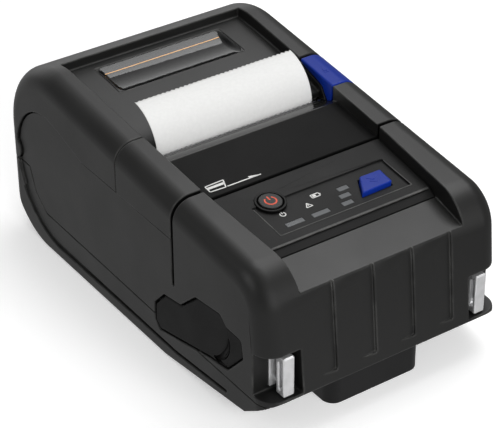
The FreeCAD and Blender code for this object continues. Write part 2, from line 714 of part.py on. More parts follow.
# Control panel with its recessed field. Its keys and openings are drawn level and laid on the slope
opening_front = D.panel_front - D.seam
opening_half = deck_half(opening_front)
panel_hole = prism("panel_hole", "XY", [
    (D.deck_half_slot, D.slot_y), (-D.deck_half_slot, D.slot_y),
    (-opening_half, opening_front), (opening_half, opening_front)], (D.rail_edge, FAR))
zone_half = D.deck_half_slot - D.seam
zone_half_front = deck_half(D.panel_front) - D.seam
panel_zone = prism("panel_zone", "XY", [
    (zone_half, slot_front), (-zone_half, slot_front),
    (-zone_half_front, D.panel_front), (zone_half_front, D.panel_front)], (D.rail_edge, FAR))
OVER = 10.0
UNDER = -14.0
field = box("field", (D.field_left, D.field_right), (D.field_front, D.field_rear), (-D.field_depth, OVER))
power = (D.power_x, D.power_y)
power_hole = rod("power_hole", "Z", power, D.power_r + D.move_gap, (UNDER, OVER))
FEED = [(21.8, -39.8), (14.2, -39.7), (10.3, -46.6), (21.5, -46.3)]


def grown(points, gap):
    """Return a four-cornered outline moved outward by about a gap."""
    mid_x = sum(p[0] for p in points) / 4.0
    mid_y = sum(p[1] for p in points) / 4.0
    moved = []
    for x, y in points:
        moved.append((x + gap * (1 if x > mid_x else -1), y + gap * (1 if y > mid_y else -1)))
    return moved


feed_hole = prism("feed_hole", "XY", grown(FEED, D.move_gap), (UNDER, OVER))

# Light windows: place on the deck and half width
LIGHTS = [(-13.7, -46.2, 3.1), (-4.6, -46.4, 3.0), (7.9, -40.2, 1.9), (6.4, -43.3, 1.9), (5.0, -46.5, 1.9)]
LIGHT_HALF = 0.9
LIGHT_FIT = 0.02
panel_under = -D.wall * cosine(D.deck_slope)
key_board_low = -D.key_board_drop
key_board_top = key_board_low + D.board_thick
light_holes = []
lights = []
for number, (x, y, half) in enumerate(LIGHTS):
    hole_x = half + LIGHT_FIT
    hole_y = LIGHT_HALF + LIGHT_FIT
    light_holes.append(box("light_hole%d" % number, (x - hole_x, x + hole_x), (y - hole_y, y + hole_y),
                           (UNDER, OVER)))
    lights.append(box("light%d" % number, (x - half, x + half), (y - LIGHT_HALF, y + LIGHT_HALF),
                      (key_board_top, -D.field_depth)))
ring_room = rod("ring_room", "Z", power, D.ring_r, (-D.field_depth, OVER))
panel_openings = tilted(fuse("panel_openings", field, ring_room, power_hole, feed_hole, *light_holes))
panel_skin = cut("panel_skin", common("panel_block", casing, panel_zone), cavity)
POST_HALF = 2.0
panel_posts = []
post_bores = []
for side in (-1, 1):
    x = D.panel_post_x * side
    panel_posts.append(box("panel_post%d" % (side + 1), (x - POST_HALF, x + POST_HALF),
                           (D.panel_post_y - POST_HALF, D.panel_post_y + POST_HALF),
                           (key_board_top, panel_under)))
    post_bores.append(rod("post_bore%d" % (side + 1), "Z", (x, D.panel_post_y), D.small_screw_r,
                          (UNDER, key_board_top + 1)))
panel_whole = fuse("panel_whole", panel_skin, tilted(fuse("panel_posts", *panel_posts)))
keep("control_panel", cut("control_panel", panel_whole, panel_openings))
keep("status_lights", tilted(fuse("status_lights", *lights)))

# Keys: a cap with a flange under the panel and a stem over its switch
FLANGE_HIGH = 1.2
FLANGE_LIP = 1.0
STEM_R = 1.5
KNOB_R = 1.6
KNOB_GAP = 0.1
flange_low = panel_under - FLANGE_HIGH
knob_top = key_board_top + D.switch_high + D.knob_high
stem_low = knob_top + KNOB_GAP + D.key_travel
power_flange = rod("power_flange", "Z", power, D.power_r + FLANGE_LIP, (flange_low, panel_under))
power_cap = rod("power_cap", "Z", power, D.power_r, (flange_low, D.key_proud))
power_stem = rod("power_stem", "Z", power, STEM_R, (stem_low, flange_low))
keep("power_button", tilted(fuse("power_button", power_cap, power_flange, power_stem)))
keep("power_ring", tilted(tube("power_ring", "Z", power, (D.power_r + D.move_gap, D.ring_r),
                               (-D.field_depth, D.key_proud - D.seam))))
feed_spot = (size(sum(p[0] for p in FEED) / 4.0), size(sum(p[1] for p in FEED) / 4.0))
feed_cap = prism("feed_cap", "XY", FEED, (flange_low, D.key_proud * 2))
feed_flange = prism("feed_flange", "XY", grown(FEED, FLANGE_LIP), (flange_low, panel_under))
feed_stem = rod("feed_stem", "Z", feed_spot, STEM_R, (stem_low, flange_low))
keep("feed_button", tilted(fuse("feed_button", feed_cap, feed_flange, feed_stem)))

# Panel board and the switches under the buttons
key_board = box("key_board", (-D.key_board_half, D.key_board_half), (D.key_board_front, D.key_board_rear),
                (key_board_low, key_board_top))
keep("panel_board", tilted(cut("panel_board", key_board, fuse("post_bores", *post_bores))))
switches = []
for number, (x, y) in enumerate((power, feed_spot)):
    switches.append(box("switch_body%d" % number, (x - D.switch_half, x + D.switch_half),
                        (y - D.switch_half, y + D.switch_half),
                        (key_board_top, key_board_top + D.switch_high)))
    switches.append(rod("switch_knob%d" % number, "Z", (x, y), KNOB_R,
                        (key_board_top + D.switch_high, knob_top)))
keep("key_switches", tilted(fuse("key_switches", *switches)))

# Upper case
upper_low = D.part_level + D.seam
upper_zone = prism("upper_zone", "YZ", [
    (-FAR, FAR), (-FAR, upper_low), (D.part_bend, upper_low),
    (D.part_bend + D.part_run, upper_low + D.part_rise),
    (D.part_bend + D.part_run + D.part_last, trough_low + D.seam),
    (arch_rear, trough_low + D.seam)] + arch(size(0), slot_rear, FAR), (-half_width - 5, half_width + 5))
upper_skin = cut("upper_skin", common("upper_block", casing, upper_zone), cavity, panel_hole)
pocket_top = D.loop_high + D.move_gap * 2
GUIDE_LEDGE_IN = 34.5
GUIDE_LEDGE_HALF = 4.0
GUIDE_WALL = 1.5
wall_in = half_width - D.side_wall + 0.5
pocket_low = D.loop_low - D.move_gap
extras = []
for side in (1, -1):
    def span(low, high):
        """Return an X span on one side of the printer."""
        return sorted((size(low) * side, size(high) * side), key=lambda s: s.value)

    tag = "right" if side > 0 else "left"
    extras.append(common("pocket_block_" + tag, form, box(
        "pocket_box_" + tag, span(D.pocket_in - 2, half_width + 1),
        (front - 3, D.pocket_floor + D.wall), (upper_low, pocket_top + D.wall))))
    extras.append(box("guide_ledge_" + tag, span(GUIDE_LEDGE_IN, wall_in),
                      (D.slot_y - GUIDE_LEDGE_HALF, D.slot_y + GUIDE_LEDGE_HALF),
                      (D.slot_floor - GUIDE_WALL - 2, D.slot_floor - GUIDE_WALL)))
    for name, y in (("front", D.screw_front), ("rear", D.screw_rear)):
        extras.append(box("post_%s_%s" % (name, tag), span(D.screw_x - D.post_half, wall_in),
                          (y - D.post_half, y + D.post_half), (upper_low, D.post_top)))
ledges = []
for side in (1, -1):
    spans = sorted(((D.deck_half_front - 1) * side, (D.deck_half_slot + 1.5) * side),
                   key=lambda s: s.value)
    ledges.append(box("panel_ledge%d" % (side + 1), spans, (D.ledge_front, D.ledge_rear),
                      (panel_under - D.ledge_thick, panel_under)))
upper_whole = fuse("upper_whole", upper_skin, tilted(fuse("panel_ledges", *ledges)), *extras)
pockets = []
screw_bores = []
for side in (1, -1):
    tag = "right" if side > 0 else "left"
    spans = sorted((D.pocket_in * side, (half_width + 3) * side), key=lambda s: s.value)
    pockets.append(box("pocket_" + tag, spans, (front - 5, D.pocket_floor), (pocket_low, pocket_top)))
    pockets.append(rod("stud_bore_" + tag, "Y", (D.loop_x * side, (D.loop_low + D.loop_high) / 2), D.stud_r,
                       (D.pocket_floor - 1, D.pocket_floor + D.wall + 2)))
    for name, y in (("front", D.screw_front), ("rear", D.screw_rear)):
        screw_bores.append(rod("bore_%s_%s" % (name, tag), "Z", (D.screw_x * side, y), D.screw_r,
                               (DEEP, D.screw_end + 0.5)))
card_room = box("card_room", (-half_width - 3, half_width + 3), (slot_front, slot_rear),
                (D.slot_floor, FAR))
trough = rod("trough", "X", hinge, trough_r, (-half_width - 3, half_width + 3))

# Outline of the connector cover on the left side
cover_tail = D.cover_axis_y + 0.7
COVER = [(-17.5, 8.6), (cover_tail, 11.0), (cover_tail, 16.5), (-20.4, 22.4), (-29.5, 24.0),
         (-37.5, 31.4), (-50.0, 33.0), (-53.0, 30.2), (-60.4, 30.0), (-61.2, 24.5), (-53.5, 16.0),
         (-44.0, 14.6)]
COVER_ROOM = [(-17.2, 8.0), (cover_tail + 0.6, 10.6), (cover_tail + 0.6, 16.8), (-20.0, 22.8),
              (-29.3, 24.4), (-37.3, 31.8), (-50.2, 33.4), (-53.2, 30.6), (-60.7, 30.4), (-61.6, 24.3),
              (-53.7, 15.6), (-44.0, 14.2)]


def rounded(points, radius):
    """Return an outline with its corners turned into arcs."""
    spots = [FreeCAD.Vector(size(y).value, size(z).value, 0) for y, z in points]
    outline = []
    for number, corner in enumerate(spots):
        before = (corner - spots[number - 1]).normalize()
        after = (spots[(number + 1) % len(spots)] - corner).normalize()
        turn = math.copysign(before.getAngle(after), before.cross(after).z)
        reach = radius * math.tan(abs(turn) / 2.0)
        start = corner - before * reach
        end = corner + after * reach
        outline.append((start.x, start.y))
        outline.append((end.x, end.y, math.copysign(radius, turn)))
    return outline


COVER_ROUND = 1.5
cover_out = -half_width
cover_in = cover_out + D.cover_thick
cover_room = prism("cover_room", "YZ", rounded(COVER_ROOM, COVER_ROUND), (cover_out - 3, cover_in + 0.5))
port_room = box("port_room", (cover_out - 1, cover_out + 7), (D.port_front, D.port_rear),
                (D.port_low, D.port_high))
ribs = []
for number in range(4):
    x = D.rib_pitch * (number - 1.5)
    scoop = prism("scoop%d" % number, "XY", [
        (x - D.rib_width / 2, -2), (x + D.rib_width / 2, -2), (x + D.rib_width / 2, D.rib_depth),
        (x - D.rib_width / 2, 0)], (0, 60))
    window = prism("scoop_end%d" % number, "XZ", [
        (x - D.rib_width / 2, D.rib_low), (x + D.rib_width / 2, D.rib_low),
        (x + D.rib_width / 2, D.rib_low + D.rib_length),
        (x - D.rib_width / 2, D.rib_low + D.rib_length, D.rib_width * 0.75)], (-5, 5))
    rib = common("rib%d" % number, scoop, window)
    rib.Placement = FreeCAD.Placement(FreeCAD.Vector(), FreeCAD.Rotation(
        FreeCAD.Vector(1, 0, 0), -D.deck_slope.value))
    bind(rib, "Placement.Base.y", front)
    bind(rib, "Placement.Base.z", D.chin_height)
    bind(rib, "Placement.Rotation.Angle", -D.deck_slope)
    ribs.append(rib)
keep("upper_case", cut("upper_case", upper_whole, card_room, trough, cover_room, port_room,
                       *(pockets + screw_bores + ribs)))

# Bottom case with battery tunnel, bosses and hinge ears
bottom_zone = prism("bottom_zone", "YZ", [
    (-FAR, D.part_level), (-FAR, DEEP), (FAR, DEEP), (FAR, trough_low),
    (D.part_bend + D.part_run + D.part_last + D.seam, trough_low),
    (D.part_bend + D.part_run + D.seam, D.part_level + D.part_rise),
    (D.part_bend + D.seam, D.part_level)], (-half_width - 5, half_width + 5))
bottom_skin = cut("bottom_skin", common("bottom_block", casing, bottom_zone), hollow)
tunnel_half = D.battery_half + D.move_gap + D.tongue + D.tunnel_wall
tunnel_top = D.board_level - 1
tunnel = common("tunnel", form, box("tunnel_box", (-tunnel_half, tunnel_half),
                                    (D.battery_front, D.battery_rear + D.move_gap + D.tunnel_wall),
                                    (0, tunnel_top)))
bosses = []
board_spots = []
frame_posts = []
for side in (-1, 1):
    board_spots.append((D.board_spot_x * side, D.board_spot_front))
    board_spots.append((D.board_spot_x * side, D.board_spot_rear))
    frame_posts.append((D.frame_spot_x * side, D.frame_spot_front))
    frame_posts.append((D.frame_spot_x * side, D.frame_spot_rear))
for number, (x, y) in enumerate(board_spots):
    bosses.append(box("board_boss%d" % number, (x - D.board_boss_half, x + D.board_boss_half),
                      (y - D.board_boss_half, y + D.board_boss_half), (tunnel_top - 1, D.board_level)))
for number, (x, y) in enumerate(frame_posts):
    bosses.append(rod("frame_post%d" % number, "Z", (x, y), D.frame_post_r,
                      (D.floor_level + 0.5, D.frame_level)))
for side in (1, -1):
    for name, y in (("front", D.screw_front), ("rear", D.screw_rear)):
        bosses.append(common("case_boss%d_%s" % (side + 1, name), form, rod(
            "case_boss_rod%d_%s" % (side + 1, name), "Z", (D.screw_x * side, y), D.boss_r,
            (0, upper_low))))
    spans = sorted((D.ear_x * side, ear_end * side), key=lambda s: s.value)
    bosses.append(rod("hinge_ear%d" % (side + 1), "X", hinge, D.barrel_r - D.move_gap, spans))
    bosses.append(box("hinge_web%d" % (side + 1), spans, (part_rear + 0.6, D.hinge_y),
                      (D.ear_low, D.arch_z)))
    bosses.append(box("hinge_foot%d" % (side + 1), spans, (part_rear + 0.6, rear - 1),
                      (D.ear_low, trough_low - D.seam)))
bottom_whole = fuse("bottom_whole", bottom_skin, tunnel, *bosses)
battery_room = box("battery_room", (-D.battery_half - D.move_gap, D.battery_half + D.move_gap),
                   (-FAR, D.battery_rear + D.move_gap), (DEEP, D.battery_top + D.move_gap))
tongue_out = D.battery_half + D.tongue
tongue_room = box("tongue_room", (-tongue_out - D.move_gap, tongue_out + D.move_gap),
                  (-FAR, D.battery_rear + D.move_gap),
                  (D.tongue_z - D.move_gap, D.tongue_z + D.tongue + D.move_gap))
head_rooms = []
screw_heads = []
head_z = D.part_level - D.screw_sink
for side in (1, -1):
    for name, y in (("front", D.screw_front), ("rear", D.screw_rear)):
        tag = "%s%d" % (name, side + 1)
        spot = (D.screw_x * side, y)
        head_rooms.append(rod("head_room_" + tag, "Z", spot, D.screw_head_r + 0.1, (DEEP, head_z)))
        screw_heads.append(rod("screw_head_" + tag, "Z", spot, D.screw_head_r,
                               (head_z - D.screw_head, head_z)))
        screw_heads.append(rod("screw_shank_" + tag, "Z", spot, D.screw_r, (head_z, D.screw_end)))
small_bores = []
board_screws = []
board_top = D.board_level + D.board_thick
for number, (x, y) in enumerate(board_spots):
    small_bores.append(rod("board_bore%d" % number, "Z", (x, y), D.small_screw_r,
                           (D.board_screw_low - 0.2, board_top)))
    board_screws.append(rod("board_shank%d" % number, "Z", (x, y), D.small_screw_r,
                            (D.board_screw_low, board_top)))
    board_screws.append(rod("board_head%d" % number, "Z", (x, y), D.small_head_r,
                            (board_top, board_top + D.small_head)))
frame_screws = []
frame_bores = []
frame_floor = D.frame_level + D.frame_sheet
for number, (x, y) in enumerate(frame_posts):
    frame_bores.append(rod("frame_bore%d" % number, "Z", (x, y), D.small_screw_r,
                           (D.frame_screw_low - 0.5, frame_floor)))
    frame_screws.append(rod("frame_shank%d" % number, "Z", (x, y), D.small_screw_r,
                            (D.frame_screw_low, frame_floor)))
    frame_screws.append(rod("frame_head%d" % number, "Z", (x, y), D.small_head_r,
                            (frame_floor, frame_floor + D.small_head)))
foot_rooms = []
feet = []
foot_top = D.floor_level + D.foot_sink
foot_places = [(x, y) for y in (D.foot_y, D.foot_front) for x in (-D.foot_x, D.foot_x)]
for number, place in enumerate(foot_places):
    foot_rooms.append(rod("foot_room%d" % number, "Z", place, D.foot_r + 0.1, (DEEP, foot_top)))
    feet.append(rod("foot%d" % number, "Z", place, D.foot_r, (0, foot_top)))
pin_bore = rod("pin_bore", "X", hinge, D.hinge_pin_r, (-pin_end, pin_end))
keep("bottom_case", cut("bottom_case", bottom_whole, battery_room, tongue_room, cover_room,
                        pin_bore, *(head_rooms + screw_bores + small_bores + frame_bores + foot_rooms)))
keep("case_screws", fuse("case_screws", *screw_heads))
keep("board_screws", fuse("board_screws", *board_screws))
keep("frame_screws", fuse("frame_screws", *frame_screws))
keep("feet", fuse("feet", *feet))

# Battery pack on its tongues, contacts behind it
battery_box = box("battery_box", (-D.battery_half, D.battery_half), (D.battery_front, D.battery_rear),
                  (0, D.battery_top))
battery_body = round_edges("battery_body", battery_box, lambda edge: (
    abs(edge.CenterOfMass.y - D.battery_front.value) < 0.01
    and edge.BoundBox.ZLength > 1), D.battery_round)
tongues = box("tongues", (-tongue_out, tongue_out), (D.tongue_front, D.battery_rear - 1),
              (D.tongue_z, D.tongue_z + D.tongue))
keep("battery_pack", fuse("battery_pack", battery_body, tongues))
contacts = []
for number in range(3):
    x = 5.0 * (number - 1)
    contacts.append(box("contact%d" % number, (x - 1, x + 1),
                        (D.battery_rear, D.battery_rear + D.move_gap), (4, 10)))
keep("battery_contacts", fuse("battery_contacts", *contacts))

# Main board with its sockets behind the connector cover
board_blank = box("board_blank", (-D.board_half, D.board_half), (D.board_front, D.board_rear),
                  (D.board_level, board_top))
keep("main_board", cut("main_board", board_blank, *[
    rod("board_hole%d" % n, "Z", spot, D.small_screw_r, (0, board_top + 1))
    for n, spot in enumerate(board_spots)]))


def socket(node, y, half, height):
    """Return a low sheet socket open to the left with a contact tongue in it."""
    reach = -half_width + D.side_wall + 0.3
    shell = box(node + "_shell", (reach, -29.5), (y - half, y + half), (board_top, board_top + height))
    room = box(node + "_room", (reach - 1, -31), (y - half + 0.4, y + half - 0.4),
               (board_top + 0.4, board_top + height - 0.4))
    tongue = box(node + "_tongue", (reach + 1.2, -30.5), (y - half + 1.4, y + half - 1.4),
                 (board_top + 1.5, board_top + 2.2))
    return keep(node, fuse(node, cut(node + "_can", shell, room), tongue))


socket("usb_socket", -43.5, 3.9, 3.9)
socket("serial_socket", -30.0, 5.4, 4.2)
keep("connector_cover", prism("connector_cover", "YZ", rounded(COVER, COVER_ROUND),
                              (cover_out + D.run_fit, cover_in)))

# Strap loops: closed rings standing on the pocket floor
for side in (1, -1):
    tag = "right" if side > 0 else "left"
    spans = sorted(((D.loop_x - D.loop_width / 2) * side, (D.loop_x + D.loop_width / 2) * side),
                   key=lambda s: s.value)
    outer_y = D.pocket_floor - D.loop_bar * 2 - D.loop_gap
    ring = box("loop_ring_" + tag, spans, (outer_y, D.pocket_floor), (D.loop_low, D.loop_high))
    bevelled = round_edges("loop_round_" + tag, ring, lambda edge: (
        abs(edge.CenterOfMass.y - outer_y.value) < 0.01
        and edge.BoundBox.XLength > 1), D.loop_bar)
    eye = box("loop_eye_" + tag, (-half_width, half_width),
              (outer_y + D.loop_bar, D.pocket_floor - D.loop_bar),
              (D.loop_low + D.loop_bar, D.loop_high - D.loop_bar))
    stud = rod("loop_stud_" + tag, "Y", (D.loop_x * side, (D.loop_low + D.loop_high) / 2), D.stud_r,
               (D.pocket_floor, D.pocket_floor + D.wall))
    keep("strap_loop_" + tag, fuse("strap_loop_" + tag, cut("loop_bar_" + tag, bevelled, eye), stud))

# Lever over the top and the inner side of the right rail, its pin and spring
def set_back(z):
    """Return the place of the lever's slanted front at a height below its pivot."""
    return D.lever_front + D.lever_slant * (D.lever_axis_z - z)


block_side = prism("block_side", "YZ", [
    (set_back(D.lever_low), D.lever_low), (D.lever_rear, D.lever_low), (D.lever_rear, FAR),
    (D.lever_front, FAR), (D.lever_front, D.lever_axis_z)], (D.lever_in, half_width + 2))
skirt_side = prism("skirt_side", "YZ", [
    (set_back(D.leg_low), D.leg_low), (D.leg_rear, D.leg_low), (D.skirt_y, D.skirt_low),
    (D.lever_rear, D.skirt_high), (D.lever_rear, FAR), (D.lever_front, FAR),
    (D.lever_front, D.lever_axis_z)], (D.skirt_in, D.lever_in))
lever_block = common("lever_block", cut("rail_form", form, top_room),
                     fuse("lever_sides", block_side, skirt_side))
lever_hook = box("lever_hook", (D.lever_in, D.lever_in + D.hook_width),
                 (D.hook_front, D.hook_front + D.hook_thick), (D.hook_low, D.lever_low + 2))
lever_axis = (D.lever_axis_y, D.lever_axis_z)
SPRING_SPAN = (35.0, 37.8)
spring_room = rod("lever_spring_room", "X", lever_axis, 2.2, SPRING_SPAN)
spring_slot = box("lever_spring_slot", SPRING_SPAN, (D.lever_axis_y, D.lever_rear + 1),
                  (D.lever_low - 1, D.lever_axis_z))
lever_bore = rod("lever_bore", "X", lever_axis, D.lever_pin_r + D.run_fit, (33, 38.8))
keep("open_lever", cut("open_lever", fuse("lever_whole", lever_block, lever_hook),
                       spring_room, spring_slot, lever_bore))
keep("lever_pin", rod("lever_pin", "X", lever_axis, D.lever_pin_r, (32.9, 38.6)))
keep("lever_spring", tube("lever_spring", "X", lever_axis, (D.lever_pin_r + D.run_fit, 1.7), (35.3, 37.5)))

# Platen roller, shaft, bushes
platen = (D.platen_y, D.platen_z)
gear_out = D.gear_in + D.gear_width
keep("platen_roller", tube("platen_roller", "X", platen, (D.shaft_r, D.platen_r),
                           (-D.platen_half, D.platen_half)))
keep("platen_shaft", rod("platen_shaft", "X", platen, D.shaft_r, (-gear_out - 0.6, ears_in + 0.6)))
bushes = []
for side in (1, -1):
    spans = sorted(((D.ear_in - 0.3) * side, ears_in * side), key=lambda s: s.value)
    bushes.append(tube("bush%d" % (side + 1), "X", platen, (D.shaft_r + D.run_fit, D.bush_r), spans))
keep("platen_bushes", fuse("platen_bushes", *bushes))

# Drive gears: platen gear, idler straight under it along the lid's path, pinion on the motor
ADDENDUM = 0.8
DEDENDUM = 1.25
BACKLASH = 0.14
PRESSURE = math.radians(20.0)


def flank_angle(pitch, base, radius):
    """Return how far an involute flank has turned in at a radius, from the pitch circle."""
    def turn(r):
        swing = math.sqrt(max((r / base) ** 2 - 1.0, 0.0))
        return swing - math.atan(swing)
    return turn(radius) - turn(pitch)


def gear_solid(teeth, module, centre, bore, phase):
    """Return a spur gear across the drive side, a tooth standing at the phase angle."""
    pitch = teeth * module / 2.0
    base = pitch * math.cos(PRESSURE)
    tip = pitch + ADDENDUM * module
    root = pitch - DEDENDUM * module
    half = (math.pi * module / 2.0 - BACKLASH) / 2.0 / pitch
    start = max(base, root)
    radii = [start + (tip - start) * step / 4.0 for step in range(5)]
    points = []
    for number in range(teeth):
        middle = phase + 2.0 * math.pi * number / teeth
        shape = [(root, half - flank_angle(pitch, base, start))]
        shape += [(r, half - flank_angle(pitch, base, r)) for r in radii]
        points += [(r, middle - a) for r, a in shape]
        points += [(r, middle + a) for r, a in reversed(shape)]
    left = -gear_out.value
    wire = [FreeCAD.Vector(left, centre[0] + r * math.cos(a), centre[1] + r * math.sin(a))
            for r, a in points]
    outline = Part.makePolygon(wire + [wire[0]])
    blank = Part.Face(outline).extrude(FreeCAD.Vector(D.gear_width.value, 0, 0))
    hole = Part.makeCylinder(bore, D.gear_width.value + 2, FreeCAD.Vector(left - 1, centre[0], centre[1]),
                             FreeCAD.Vector(1, 0, 0))
    return blank.cut(hole)


def meshed_phase(phase, teeth, direction, mate_teeth):
    """Return the phase of a gear that meshes with one seen in a direction from it."""
    lead = (phase - direction) * teeth
    return direction + math.pi - (lead + math.pi) / mate_teeth


def gear(node, teeth, centre, bore, phase):
    """Add a gear to the document."""
    item = doc.addObject("Part::Feature", node)
    middle = (centre[0].value, centre[1].value)
    item.Shape = gear_solid(int(teeth.value), D.gear_module.value, middle, bore, phase)
    return keep(node, item)


swing_y = D.hinge_y - D.platen_y
swing_z = D.platen_z - D.arch_z
swing = math.hypot(swing_y.value, swing_z.value)
idler_reach = (D.platen_teeth + D.idler_teeth) * D.gear_module / 2 + D.gear_slack
idler_turn = math.atan2(-swing_y.value, -swing_z.value)
swing_size = Size(swing, "sqrt(%s ^ 2 + %s ^ 2)" % (swing_y.text, swing_z.text))
idler = (D.platen_y - idler_reach * swing_z / swing_size,
         D.platen_z - idler_reach * swing_y / swing_size)
pinion_reach = (D.idler_teeth + D.pinion_teeth) * D.gear_module / 2 + D.gear_slack
pinion = (idler[0] + pinion_reach * cosine(D.pinion_angle),
          idler[1] + pinion_reach * sine(D.pinion_angle))
pinion_turn = math.radians(D.pinion_angle.value)
idler_phase = meshed_phase(idler_turn, D.platen_teeth.value, idler_turn, D.idler_teeth.value)
pinion_phase = meshed_phase(idler_phase, D.idler_teeth.value, pinion_turn, D.pinion_teeth.value)
gear("platen_gear", D.platen_teeth, platen, D.shaft_r.value, idler_turn)
gear("idler_gear", D.idler_teeth, idler, D.post_r.value + D.run_fit.value, idler_phase)
gear("motor_pinion", D.pinion_teeth, pinion, D.motor_shaft_r.value, pinion_phase)

# Steel frame carrying motor, idler post and head
frame_in = D.frame_half - D.frame_sheet
side_plates = []
for side in (1, -1):
    spans = sorted((frame_in * side, D.frame_half * side), key=lambda s: s.value)
    side_plates.append(box("frame_side%d" % (side + 1), spans, (D.frame_nose, D.frame_rear),
                           (D.frame_level, D.frame_top)))
frame_base = box("frame_base", (-D.frame_half, D.frame_half), (D.frame_front, D.frame_rear),
                 (D.frame_level, frame_floor))
bar_rear = D.head_face - D.head_thick - D.sink_thick - D.spring_room
cross_bar = box("cross_bar", (-D.frame_half, D.frame_half), (bar_rear - D.frame_sheet, bar_rear),
                (D.frame_top - 3, D.head_top - 1.5))
frame_whole = fuse("frame_whole", frame_base, cross_bar, *side_plates)
head_pin_y = D.head_face - D.head_thick - D.sink_thick / 2
head_axis = (head_pin_y, D.head_pin_z)
shaft_hole = rod("shaft_hole", "X", pinion, D.motor_shaft_r + 0.4, (-FAR, -frame_in + 1))
post_hole = rod("post_hole", "X", idler, D.post_r, (-FAR, -frame_in + 1))
head_pin_hole = rod("head_pin_hole", "X", head_axis, D.head_pin_r, (-FAR, FAR))
keep("mechanism_frame", cut("mechanism_frame", frame_whole, shaft_hole, post_hole, head_pin_hole, *[
    rod("frame_hole%d" % n, "Z", spot, D.small_screw_r, (0, frame_floor + 1))
    for n, spot in enumerate(frame_posts)]))
keep("gear_post", rod("gear_post", "X", idler, D.post_r, (-gear_out - 0.5, -frame_in + 0.6)))
motor_can = rod("motor_can", "X", pinion, D.motor_r, (-frame_in, -frame_in + D.motor_length))
keep("stepper_motor", cut("stepper_motor", motor_can, rod(
    "motor_bore", "X", pinion, D.motor_shaft_r + D.run_fit, (-frame_in - 1, -frame_in + 8))))
keep("motor_shaft", rod("motor_shaft", "X", pinion, D.motor_shaft_r, (-gear_out - 0.4, -frame_in + 6)))

# Thermal head on its heat sink, pivoting on a pin, pressed by two springs
head_back = D.head_face - D.head_thick
sink_back = head_back - D.sink_thick
keep("thermal_head", box("thermal_head", (-D.head_half, D.head_half), (head_back, D.head_face),
                         (D.head_top - 9, D.head_top)))
sink_plate = box("sink_plate", (-D.head_half, D.head_half), (sink_back, head_back),
                 (D.head_pin_z + 2, D.head_top))
sink_foot = rod("sink_foot", "X", head_axis, 2.2, (-D.head_half, D.head_half))
keep("heat_sink", cut("heat_sink", fuse("sink_whole", sink_plate, sink_foot), rod(
    "sink_bore", "X", head_axis, D.head_pin_r + D.run_fit, (-D.head_half - 1, D.head_half + 1))))
keep("head_pin", rod("head_pin", "X", head_axis, D.head_pin_r, (-D.frame_half, D.frame_half)))


def coil(turns, length, radius, wire):
    """Return a coil spring along Y from the origin."""
    pitch = (length - 2.0 * wire) / turns
    path = Part.makeHelix(pitch, pitch * turns, radius)
    ring = Part.Wire(Part.makeCircle(wire, FreeCAD.Vector(radius, 0, 0), FreeCAD.Vector(0, 1, 0)))
    spring = Part.Wire(path).makePipeShell([ring], True, True)
    spring.rotate(FreeCAD.Vector(), FreeCAD.Vector(1, 0, 0), -90)
    spring.translate(FreeCAD.Vector(0, wire, 0))
    return spring


springs = []
spring_z = (D.head_top - D.spring_drop).value
for x in (-D.spring_x.value, D.spring_x.value):
    one = coil(5, sink_back.value - bar_rear.value, D.spring_r.value, D.spring_wire.value)
    one.translate(FreeCAD.Vector(x, bar_rear.value, spring_z))
    springs.append(one)
head_springs = doc.addObject("Part::Feature", "head_springs")
head_springs.Shape = Part.makeCompound(springs)
keep("head_springs", head_springs)

# Paper bin, roll, core, the web to the platen and the strip that stands out
bin_axis = (D.roll_y, D.bin_z)
bin_out = D.bin_half + D.bin_wall
bin_shell = tube("bin_shell", "X", bin_axis, (D.bin_r, D.bin_r + D.bin_wall), (-bin_out, bin_out))
cheeks = []
for side in (1, -1):
    spans = sorted((D.bin_half * side, bin_out * side), key=lambda s: s.value)
    cheeks.append(rod("cheek%d" % (side + 1), "X", bin_axis, D.bin_r + D.bin_wall, spans))
bin_upper = box("bin_upper", (-half_width, half_width), (0, FAR), (D.bin_z, FAR))
bin_low = D.floor_level + D.wall
bin_feet = []
for number, x in enumerate((-D.bin_foot_x, D.bin_foot_x)):
    bin_feet.append(cut("bin_foot%d" % number, box(
        "bin_foot_box%d" % number, (x - 1, x + 1), (D.roll_y - 11, D.roll_y + 4), (bin_low, 16)),
        rod("bin_foot_room%d" % number, "X", bin_axis, D.bin_r + 0.5, (x - 2, x + 2))))
bin_whole = fuse("bin_whole", cut("bin_trough", bin_shell, bin_upper), *[
    cut("cheek_low%d" % n, cheek, bin_upper) for n, cheek in enumerate(cheeks)])
keep("paper_bin", fuse("paper_bin", bin_whole, *bin_feet))
roll_z = D.bin_z - D.bin_r + D.roll_r + D.move_gap
roll_axis = (D.roll_y, roll_z)
keep("paper_roll", tube("paper_roll", "X", roll_axis, (D.core_r, D.roll_r), (-D.paper_half, D.paper_half)))
keep("roll_core", tube("roll_core", "X", roll_axis, (D.core_r - D.core_wall, D.core_r),
                       (-D.paper_half, D.paper_half)))

